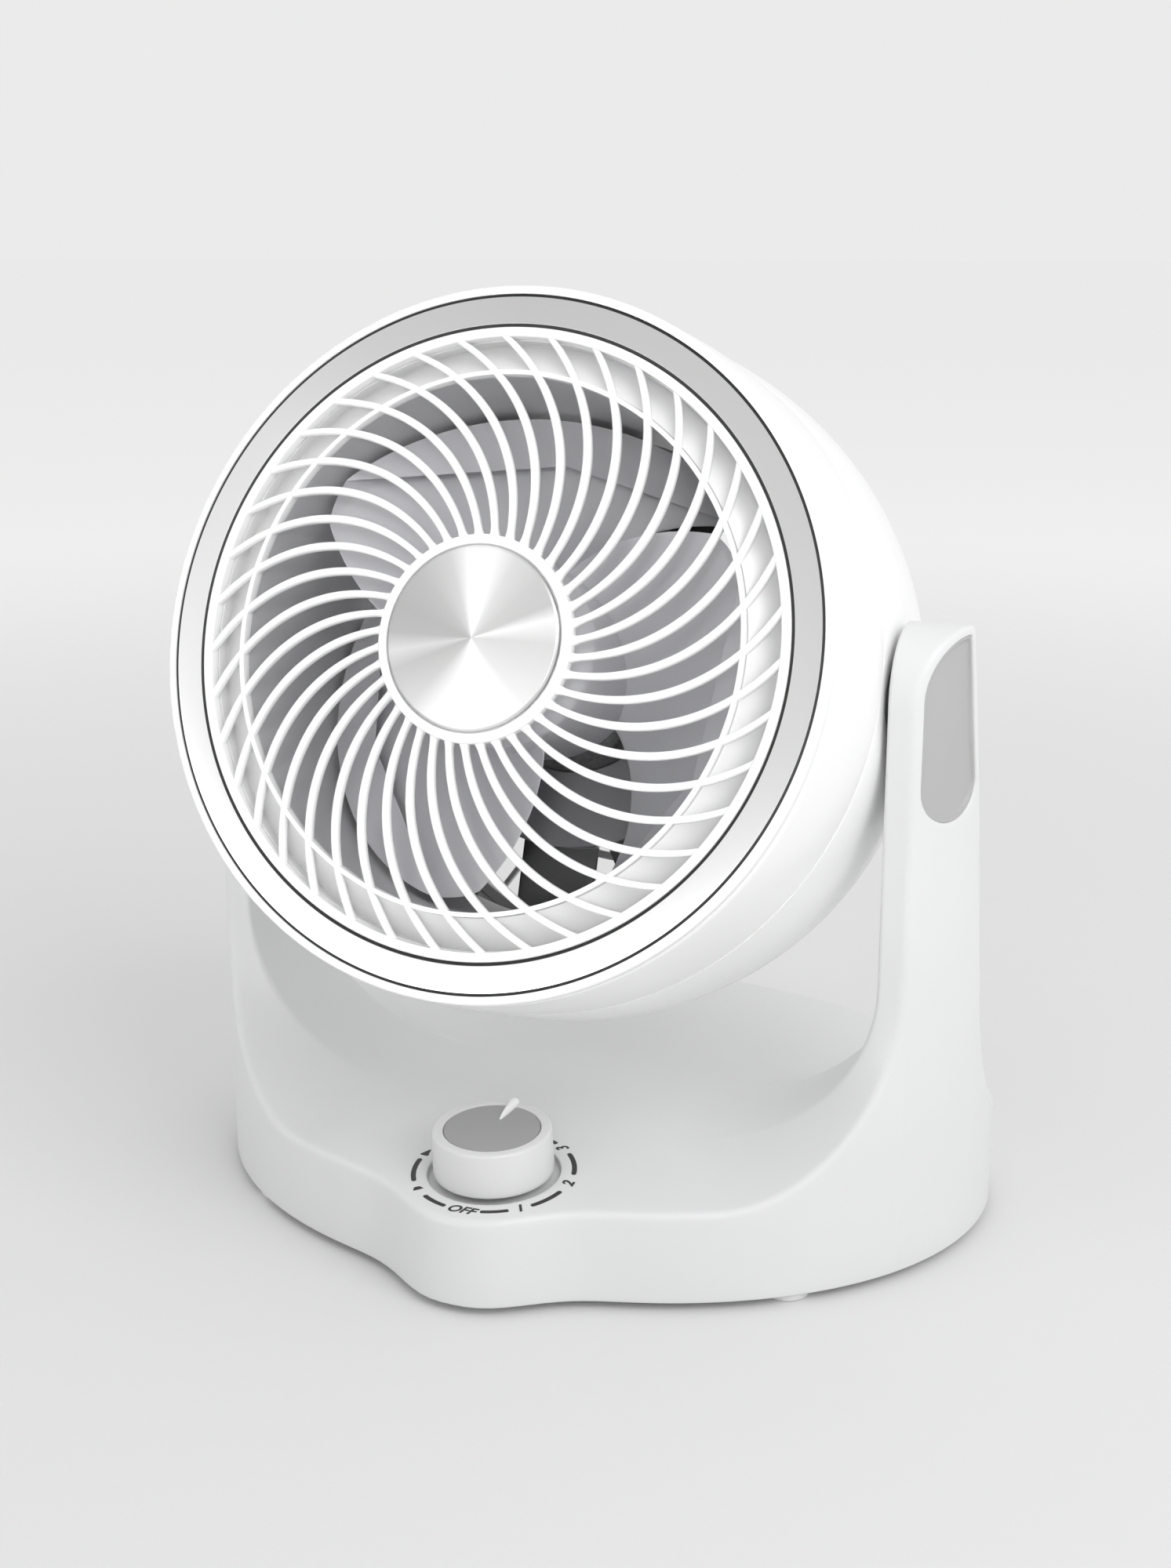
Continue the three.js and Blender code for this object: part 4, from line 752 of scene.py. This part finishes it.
flange, seam_depth, seam_gap = 4.3, 48.6, 0.45
seam_radius, widest_radius, widest_depth = 118.9, 121.6, 84.0
rear_radius, drum_depth, drum_wall = 100.0, 146.0, 2.6
pivot_flat = 118.6


def drum_radius(depth):
    """The drum's radius at a depth: two soft parabolas to the widest line, then a squarish quarter oval."""
    front = np.clip((depth - flange) / (seam_depth - flange), 0, 1)
    belly = np.clip((depth - seam_depth) / (widest_depth - seam_depth), 0, 1)
    rear = np.clip((depth - widest_depth) / (drum_depth - widest_depth), 0, 1)
    grown = 115.3 + (seam_radius - 115.3) * (1.7 * front - 0.7 * front**2)
    grown = grown + (widest_radius - seam_radius) * (2 * belly - belly**2)
    return grown - (widest_radius - rear_radius) * (1 - np.sqrt(1 - rear**1.8))


def drum_side(start, end, steps, inset=0.0):
    """Points down the drum's side between two depths."""
    depth = np.linspace(start, end, steps)
    return np.stack([drum_radius(depth) - inset, -depth], -1)


def about_head(finish):
    """Where a surface point lies about the head's axis: its radius, and its heading in turns."""
    turned = finish.node("ShaderNodeMapping", {"vector_type": "TEXTURE"}, {
        "Vector": finish.place(), "Location": tuple(ring_centre / 1000),
        "Rotation": (float(np.arctan2(-head_axes[2][1], head_axes[2][2])), 0.0, 0.0)})
    flat = finish.node("ShaderNodeVectorMath", {"operation": "MULTIPLY"}, {0: turned, 1: (1, 1, 0)})
    radius = finish.node("ShaderNodeVectorMath", {"operation": "LENGTH"}, {0: flat}, output=1)
    across, up = (finish.node("ShaderNodeSeparateXYZ", None, {0: flat}, output=k) for k in (0, 1))
    return radius, up.math("ARCTAN2", across) * (0.5 / pi) + 0.5


flange_back, plate_back, plate_foot, plate_lip = -7.4, -15.3, -9.7, -1.2
plate_outer, plate_bend, rim_seat, plate_hole = 103.7, 98.6, 98.2, 87.8
seam_edge = drum_radius(np.array(seam_depth))
front_profile = np.concatenate([
    drum_side(flange + 0.5, seam_depth - seam_gap / 2 - 0.3, 18),
    [(seam_edge - 0.35, -seam_depth + seam_gap / 2)],
    [(seam_edge - drum_wall, -seam_depth + seam_gap / 2)],
    drum_side(seam_depth - 3, flange + 3, 8, drum_wall),
    soften([(drum_radius(np.array(7.0)) - drum_wall, flange_back), (plate_outer, flange_back),
            (plate_bend, plate_back), (plate_hole, plate_back), (plate_hole, plate_lip),
            (rim_seat, plate_foot), (rim_seat, -flange), (114.6, -flange)], 0.5)[1:],
    [(115.1, -flange - 0.12)]])
drum_white = moulded("front_drum_white", 0.93, 0.96, Coat_Weight=0.2, **gloss)
radius, _ = about_head(drum_white)
# Painted shade: the plate round the throat, inside the ring, is coloured a darker grey than the drum, for the
# shade under the grille and ring.
plate_painted_shade_mask = 1 - radius.rises((plate_outer - 0.2) / 1000, (plate_outer + 0.8) / 1000)
drum_white.set(Base_Color=drum_white.blend(plate_painted_shade_mask, grey(0.945), grey(0.78)))
piece("drum_front", [lathe(closed(front_profile), 192)], on_head, "head", drum_white,
      ["front_shell"])


def flattened(grid):
    """The two sides cut flat at the pivots, with a soft edge: x drawn in smoothly to the flat's distance."""
    over = np.abs(grid[..., 0]) - pivot_flat
    soft = 0.25
    drawn = np.abs(grid[..., 0]) - soft * np.logaddexp(0, over / soft)
    flat = grid.copy()
    flat[..., 0] = np.sign(grid[..., 0]) * drawn
    return flat


rear_profile = np.concatenate([
    [(seam_edge - 0.35, -seam_depth - seam_gap / 2)],
    drum_side(seam_depth + seam_gap / 2 + 0.3, widest_depth, 40),
    drum_side(widest_depth, drum_depth - 0.8, 60)[1:],
    soften([(rear_radius + 0.6, -drum_depth + 0.3), (rear_radius - 0.3, -drum_depth), (96.4, -drum_depth),
            (96.4, -drum_depth + 5.5), (rear_radius - 1, -drum_depth + 5.5)], 0.7)[1:],
    drum_side(drum_depth - 6, seam_depth + 3, 24, drum_wall),
    [(seam_edge - drum_wall, -seam_depth - seam_gap / 2)]])
piece("drum_rear", [flattened(lathe(closed(rear_profile), 288))], on_head, "head",
      gloss_white, ["rear_shell"])


# ---------------------------------------------------------------- lip and bright ring
# A narrow white lip rounds off the drum's front edge. Inside it lies a flat ring of satin chrome. Its
# edges are painted near-black, as painted shade of the narrow gaps beside it, which show as two fine
# dark lines, and lighter and darker sweeps round the ring are painted reflections in its colour.
lip = soften([(112.4, -4.2), (115.2, -4.2), (115.2, 0.3), (112.4, 0.3)], 1.0, 8)
piece("lip", [lathe(closed(np.concatenate([lip, [(112.4, -2.0)]])), 240)], on_head, "head",
      gloss_white, ["lip_ring"])


ring_inner, ring_outer, dark_edge = 101.95, 112.3, 0.9
satin_chrome = Finish("satin_chrome_ring", 0.2, 1.0)
radius, heading = about_head(satin_chrome)
# Painted shade: outside this mask the ring's edges are coloured near-black and not metallic, for the shade of the
# gaps beside the ring.
rim_mask = radius.between((ring_inner + dark_edge) / 1000, (ring_outer - dark_edge) / 1000, 5e-5)
hairline = satin_chrome.lines(radius, 9000.0, 2.0)
# Painted reflection: the ring's colour grows lighter and darker by heading round it, as the room's reflection
# would.
ring_painted_reflection_stops = [(0.0, 0.96), (0.12, 1.0), (0.36, 1.0), (0.46, 0.8), (0.53, 0.76), (0.62, 0.72), (0.75, 0.68),
               (0.83, 0.74), (0.9, 0.9), (1.0, 0.96)]
bright = satin_chrome.blend(0.1 * hairline, satin_chrome.ramp(heading, ring_painted_reflection_stops), grey(0.3))
satin_chrome.set(Base_Color=satin_chrome.blend(rim_mask, grey(0.012), bright))
satin_chrome.set(Metallic=rim_mask, Roughness=0.42 - 0.24 * rim_mask + 0.05 * hairline)
satin_chrome.set(Normal=satin_chrome.bump(hairline, 1.5e-6))
trim = soften([(ring_inner, -3.9), (ring_outer, -3.9), (ring_outer, -0.15), (ring_outer - dark_edge, 0.1),
               (ring_inner + dark_edge, -0.35), (ring_inner, -0.7)], 0.22)
piece("bright_ring", [lathe(closed(trim), 240)], on_head, "head", satin_chrome, ["trim_ring"])


# ---------------------------------------------------------------- grille
# A white moulding: a hub ring, 39 ribs that curl anticlockwise on their way out, a thin ring at the
# throat and the outer rim, which sits inside the bright ring.
rib_count, rib_start = 39, 3.4
hub_radius, rim_inner, rim_outer = 33.4, 98.6, 101.75
rib_hub_height, rib_fall, rib_depth = 5.2, 0.083, 3.4
badge_radius = 29.8


def rib_front(radius):
    """Height of the ribs' front edges, which fall in a straight line from the hub to the rim."""
    return rib_hub_height - rib_fall * (radius - hub_radius)


def squarish(angle, power):
    """Cosine and sine of an angle, each to a power with its sign kept: round a squarish oval."""
    around = np.stack([np.cos(angle), np.sin(angle)])
    return np.sign(around) * np.abs(around) ** power


def rib(number):
    """
    A bar with a rounded section carried along the line angle = 0.345 s + 0.0027 s^2 degrees, where
    s is the distance out from the hub. Its section is a squarish oval, flared where it meets the hub.
    """
    share = np.linspace(0, 1, 37)
    radius = hub_radius - 2.0 + (rim_inner + 3.0 - hub_radius) * share
    out = radius - hub_radius
    angle = np.radians(rib_start + 360 / rib_count * number + 0.345 * out + 0.0027 * out**2)
    heading = angle + np.arctan(radius * np.radians(0.345 + 0.0054 * out))
    flare = 1 + 0.55 * np.exp(-(np.maximum(out, 0) / 1.3) ** 2) * (out > -3)
    half = (1.05 + 0.32 * np.sin(pi * share)) * flare
    ring = np.linspace(0, 2 * pi, 15)
    across, up = squarish(ring, 0.62)
    side = half[:, None] * across
    x = (radius * np.cos(angle))[:, None] - np.sin(heading)[:, None] * side
    y = (radius * np.sin(angle))[:, None] + np.cos(heading)[:, None] * side
    z = (rib_front(radius) - rib_depth / 2)[:, None] + rib_depth / 2 * up
    return points_of(x, y, z)


def capped(grid):
    """A tube with each end drawn together to its middle, so that it is closed."""
    ends = [np.broadcast_to(grid[k].mean(0), grid[k].shape)[None] for k in (0, -1)]
    return np.concatenate([ends[0], grid, ends[1]])


hub_face = rib_hub_height + 1.5
hub_ring = soften([(0, 1.8), (hub_radius, 1.8), (hub_radius, hub_face - 0.4),
                   (badge_radius + 0.35, hub_face), (badge_radius + 0.35, 5.0), (0, 5.0)], 0.8)
throat = soften([(86.1, -3.1), (87.7, -3.1), (87.7, 0.7), (86.1, 0.7), (86.1, -2.5)], 0.45)
rim = soften([(rim_inner, -4.0), (rim_outer, -4.0), (rim_outer, 0.1), (rim_inner, 0.1), (rim_inner, -3.4)],
             0.7, 7)
grille_grids = [lathe(hub_ring), lathe(closed(throat), 192), lathe(closed(rim), 240)]
grille_grids += [capped(rib(number)) for number in range(rib_count)]
piece("spiral_grille", grille_grids, on_head, "head", gloss_white, ["front_grille"])


# ---------------------------------------------------------------- hub disc
# A disc of spun aluminium with a turned bevel and fine lathe rings, pressed into the hub ring. Fans that
# point to the middle are painted highlights in its colour, lighter and darker by heading. A dark line of shadow
# lies round it.
disc_front = 7.4
spun = Finish("spun_aluminium_disc", 0.36, 1.0)
radius, heading = about_head(spun)
grooves = spun.lines(radius, 5200.0, 3.0)
# Painted highlight: bright and dark fans by heading round the disc, where spun rings would catch the light.
hub_painted_highlight_stops = [(0.0, 0.42), (0.035, 0.62), (0.07, 0.44), (0.14, 0.5), (0.2, 0.74), (0.26, 0.95), (0.33, 0.9),
             (0.38, 0.7), (0.45, 0.66), (0.5, 0.64), (0.545, 0.9), (0.57, 0.56), (0.62, 0.6), (0.68, 0.74),
             (0.725, 1.0), (0.775, 1.0), (0.815, 0.66), (0.88, 0.5), (0.95, 0.42), (1.0, 0.42)]
spun.set(Base_Color=spun.blend(0.14 * grooves, spun.ramp(heading, hub_painted_highlight_stops), grey(1.0)))
spun.set(Roughness=0.34 + 0.08 * grooves, Normal=spun.bump(grooves, 1e-6))
hub_disc = soften([(0, 5.4), (badge_radius - 0.25, 5.4), (badge_radius - 0.25, disc_front - 0.7),
                   (badge_radius - 0.9, disc_front), (0, disc_front)], 0.15)
piece("hub_disc", [lathe(hub_disc, 192)], on_head, "head", spun, ["hub_badge"])


# ---------------------------------------------------------------- duct and impeller
# The duct is a grey tube behind the throat. Three broad blades sweep clockwise on their way out from
# a cup-shaped hub, all one grey moulding, and a nut holds it on the motor's shaft.
throat_radius, duct_rear = 86.3, -84.0
tube_front, tube_rear, duct_flange = 87.5, 88.5, 96.5
duct = soften([(throat_radius, -3.5), (tube_front, -3.5), (tube_front, -15.6), (duct_flange, -15.6),
               (duct_flange, -17.6), (tube_rear, -17.6), (tube_rear, duct_rear + 3),
               (duct_flange, duct_rear + 3), (duct_flange, duct_rear), (throat_radius, duct_rear),
               (throat_radius, -10)], 0.4)
duct_grey = moulded("duct_grey", 0.6, 0.64, 0.45, 4e-6, 8e-6, (0.99, 0.99, 1.01))
piece("duct_tube", [lathe(closed(duct), 160)], on_head, "head", duct_grey, ["air_duct"])

wheel_radius, blade_tip, blade_thickness = 32.2, 83.7, 1.8


def blade(number):
    """
    A broad plate between two edges. At a share w of the way out from the hub the front edge lies at
    59 - 30 w degrees and -25 + 8 w mm, the rear edge at -37 - 43 w degrees and -60 - 20 w^0.7 mm.
    The plate falls from one to the other with its chord's share to the power 1.2.
    """
    way = np.r_[-0.06, np.linspace(0, 0.88, 34), np.linspace(0.9, 1, 11)][:, None]
    radius = wheel_radius + (blade_tip - wheel_radius) * way
    before = 59 - 30 * way - 8 * np.maximum(0, (way - 0.9) / 0.1) ** 2
    behind = -37 - 43 * way
    chord = (1 - np.cos(np.linspace(0, pi, 49)))[None, :] / 2
    rear = -60 - 20 * np.maximum(0, way) ** 0.7
    height = rear + (8 * way - 25 - rear) * chord**1.2
    thick = blade_thickness * np.sin(pi * chord) ** 0.4 + 0 * way
    chord, height, thick = (np.concatenate([part, part[:, -2::-1]], 1) for part in (chord, height, thick))
    upper = np.arange(chord.shape[1]) < 49
    angle = np.radians(120 * number + behind + (before - behind) * chord)
    return capped(points_of(radius * np.cos(angle), radius * np.sin(angle), height + thick * upper))


fan_grey = moulded("fan_grey", 0.62, 0.66, 0.34, 2e-6, 5e-6, (0.99, 0.985, 1.02),
                   Coat_Weight=0.15, Coat_Roughness=0.3)
hub_cup = soften([(9, -54), (9, -20), (29.2, -20), (29.2, -62), (wheel_radius, -62), (wheel_radius, -17),
                  (26.2, -11), (4.3, -11), (4.3, -54), (8, -54)], 2.2)
piece("fan_wheel", [lathe(closed(hub_cup), 96)] + [blade(number) for number in range(3)], on_head,
      "rotor", fan_grey, ["impeller"])


# ---------------------------------------------------------------- motor and its bracket
# Behind the wheel a bracket carries the motor: a dark grey dish, and round it twelve broad vanes that lean
# against the blades, painted near-black as painted shade deep behind the wheel. The motor's two cast covers are
# turned smooth at their rims.
bracket_face, bracket_back, dish_radius = -84.3, -87.3, 61.0
motor_radius, motor_front, motor_rear = 34.0, -64.0, -122.0
motor_middle = (motor_front + motor_rear) / 2
vane_count, vane_width, vane_thickness, vane_lean = 12, 27.0, 1.5, 15.0


def spoke(x, y, z, angle):
    """A closed bar along X, turned about the axis."""
    return capped(points_of(x * cos(angle) - y * sin(angle), x * sin(angle) + y * cos(angle), z))


def vane(number):
    """A flat plate from the dish to the outer ring, with rounded edges, leaning by some degrees."""
    ring = np.linspace(0, 2 * pi, 25)
    across, through = squarish(ring, 0.25) * [[vane_width / 2], [vane_thickness / 2]]
    lean = radians(vane_lean)
    y = across * cos(lean) - through * sin(lean)
    z = (bracket_face - 93) / 2 - across * sin(lean) - through * cos(lean)
    x = np.linspace(dish_radius - 1.5, 87.5, 9)[:, None] + 0 * ring
    return spoke(x, y, z, 2 * pi * number / vane_count)


carrier_dark_and_painted_shade = Finish("motor_carrier_black", 0.45)
radius, _ = about_head(carrier_dark_and_painted_shade)
# Painted shade: the vanes, outside the dish, are coloured near-black against the dish's dark grey, for the shade
# deep behind the wheel.
dish_mask = 1 - radius.rises(dish_radius / 1000 - 0.0003, dish_radius / 1000 + 0.0003)
carrier_dark_and_painted_shade.set(Base_Color=carrier_dark_and_painted_shade.blend(dish_mask, grey(0.035), grey(0.34, (1.0, 0.99, 1.03))))
carrier_dark_and_painted_shade.set(Roughness=0.38 + 0.1 * carrier_dark_and_painted_shade.noise(300.0, 4.0))
carrier_dark_and_painted_shade.set(Normal=carrier_dark_and_painted_shade.bump(carrier_dark_and_painted_shade.noise(2600.0, 2.0), 8e-6))
outer_ring = soften([(86.6, bracket_face), (96.5, bracket_face), (96.5, bracket_back), (86.6, bracket_back),
                     (86.6, -85)], 0.5)
dish = soften([(34.3, bracket_face), (dish_radius, bracket_face), (dish_radius, bracket_back),
               (37.4, bracket_back), (37.4, -96), (34.3, -96), (34.3, -85)], 0.6)
carrier_grids = [lathe(closed(outer_ring)), lathe(closed(dish))]
carrier_grids += [vane(number) for number in range(vane_count)]
piece("motor_carrier", carrier_grids, on_head, "head", carrier_dark_and_painted_shade, ["motor_bracket"])

cast_metal = Finish("cast_aluminium", 0.45, 1.0)
grain = cast_metal.noise(900.0, 6.0)
cast_metal.set(Base_Color=cast_metal.blend(grain.rises(0.35, 0.65), grey(0.3), grey(0.42)))
cast_metal.set(Roughness=0.38 + 0.2 * grain, Normal=cast_metal.bump(grain, 3e-5))


def motor_cup(end, inward, collar=()):
    """A cover from one end of the motor to its middle, with a bearing seat. Its collar may carry it."""
    middle_line = motor_middle - 0.15 * inward
    profile = [(5.5, end), (30, end), (motor_radius, end + 4 * inward), *collar,
               (motor_radius, middle_line), (31.5, middle_line), (31.5, end + 6 * inward),
               (11.3, end + 3 * inward), (5.5, end + 3 * inward), (5.5, end + inward)]
    return lathe(closed(soften(profile, 1.2)), 96)


seat = [(motor_radius, -99.3), (37.4, -99.3), (37.4, -96.3), (motor_radius, -96.3)]
piece("motor_cup_front", [motor_cup(motor_front, -1)], on_head, "head", cast_metal,
      ["motor_front_cover"])
piece("motor_cup_rear", [motor_cup(motor_rear, 1, seat)], on_head, "head", cast_metal,
      ["motor_rear_cover"])


# ---------------------------------------------------------------- rear grille
# A domed white guard closes the drum's rear: eighteen radial ribs, a ring halfway and a middle plate.
guard_edge, dome, guard_thickness = 96.1, 8.0, 3.0
rear_ribs, plate_radius, halfway = 18, 26.0, 60.0


def guard_face(radius):
    """Depth of the guard's outer face: a shallow parabola."""
    return -(drum_depth + dome * (1 - (radius / guard_edge) ** 2))


def guard_ring(inner, outer):
    """A ring of the guard, with its corners rounded."""
    start, end = guard_face(inner), guard_face(outer)
    corners = [(inner, start), (outer, end), (outer, end + guard_thickness),
               (inner, start + guard_thickness), (inner, start + 1)]
    return lathe(closed(soften(corners, 0.7)), 160)


def guard_rib(number):
    """A rounded bar that follows the dome from the middle plate to the rim."""
    radius = np.linspace(plate_radius - 2, guard_edge - 2, 25)[:, None]
    ring = np.linspace(0, 2 * pi, 15)[None, :]
    across, through = squarish(ring, 0.6)
    y = 1.1 * across + 0 * radius
    z = guard_face(radius) + 1.5 + 1.3 * through
    return spoke(radius, y, z, 2 * pi * number / rear_ribs)


plate_edge = guard_face(plate_radius)
plate = soften([(0, guard_face(0)), (14, guard_face(14)), (plate_radius, plate_edge),
                (plate_radius, plate_edge + guard_thickness), (0, plate_edge + guard_thickness)], 1.0)
guard_rim = soften([(92.1, -drum_depth), (guard_edge, -drum_depth), (guard_edge, -140.2), (92.1, -140.2),
                    (92.1, -145)], 0.8)
guard_grids = [lathe(plate, 96), guard_ring(halfway, halfway + 3), lathe(closed(guard_rim), 192)]
guard_grids += [guard_rib(number) for number in range(rear_ribs)]
piece("rear_guard", guard_grids, on_head, "head", satin_white, ["rear_grille"])


# ---------------------------------------------------------------- pieces that show little
# Fasteners, bearings and what lies in the base keep their plain solids: zinc-plated steel, laminated
# steel and black or white mouldings.
zinc = Finish("zinc_plated_steel", 0.32, 1.0)
spangle = zinc.noise(700.0, 5.0)
zinc.set(Base_Color=zinc.blend(spangle, grey(0.42), grey(0.58, (1.0, 1.0, 1.03))))
zinc.set(Roughness=0.24 + 0.18 * spangle, Normal=zinc.bump(spangle, 4e-6))
by_slot = {"steel": zinc, "dark_plastic": black_plastic, "white_satin": satin_white,
           "foot_rubber": foot_rubber, "white_gloss": gloss_white, "cast_aluminium": cast_metal,
           "grey_plastic": duct_grey, "cover_grey": cover_plastic, "insert_grey": insert_plastic,
           "spun_aluminium": spun, "trim_chrome": satin_chrome}
for row in frame["record"]["subparts"]:
    node = frame["nodes"][row["node"]]
    node.data.materials.clear()
    node.data.materials.append(by_slot[row["material_slot"]].material)


# ---------------------------------------------------------------- floor, light and camera
# A plain pale floor that runs out to a sky of the same tone, a broad soft light from the right and
# above, a card that only reflections show, a weak beam into the grille, and the photograph's own view.
stage_paint = Finish("stage_paint", 0.9, Specular_IOR_Level=0.0)
away = stage_paint.node("ShaderNodeVectorMath", {"operation": "LENGTH"}, {0: stage_paint.place()}, output=1)
near_tone = stage_paint.blend(stage_paint.noise(0.8, 1.0), grey(0.77), grey(0.79))
stage_paint.set(Base_Color=stage_paint.blend(away.rises(0.4, 1.9), near_tone, grey(0.99)))
floor_mesh = bpy.data.meshes.new("floor")
reach = 60
floor_mesh.from_pydata([(-reach, -reach, 0), (reach, -reach, 0), (reach, reach, 0), (-reach, reach, 0)], [],
                       [(0, 1, 2, 3)])
floor_mesh.materials.append(stage_paint.material)
stage_floor = in_scene("floor", floor_mesh)

sky = bpy.data.worlds.new("sky")
sky.use_nodes = True
sky.node_tree.nodes["Background"].inputs["Color"].default_value = grey(0.83)
bpy.context.scene.world = sky
bpy.context.scene.view_settings.view_transform = "Standard"


def softbox(name, place, target, width, height, power):
    """A rectangular area light that points at a target. Power is in watts."""
    light = bpy.data.lights.new(name, "AREA")
    light.shape = "RECTANGLE"
    light.size, light.size_y, light.energy = width, height, power
    lamp = in_scene(name, light)
    lamp.location = place
    away = np.array(place, float) - np.array(target, float)
    flat_away = sqrt(away[0] ** 2 + away[1] ** 2)
    lamp.rotation_euler = (atan2(flat_away, away[2]), 0, atan2(away[0], -away[1]))
    return lamp


softbox("key", (1.5, -0.9, 1.5), (0, 0, 0.15), 1.4, 1.4, 16)
card = softbox("reflection_card", (-0.95, -1.8, 0.4), (0, -0.09, 0.2), 1.3, 0.6, 5)
card.visible_diffuse = False
grille_fill = softbox("grille_fill", (0.3, -1.05, 0.5), (0, -0.0865, 0.2219), 0.24, 0.24, 0.04)
grille_fill.data.spread = radians(12)

lens = bpy.data.cameras.new("camera")
lens.lens = 46.8
lens.sensor_width = 36.0
camera = in_scene("camera", lens)
camera.location = (0.2741, -0.6631, 0.3422)
camera.rotation_euler = (radians(75.3), 0, radians(22.44))
bpy.context.scene.camera = camera
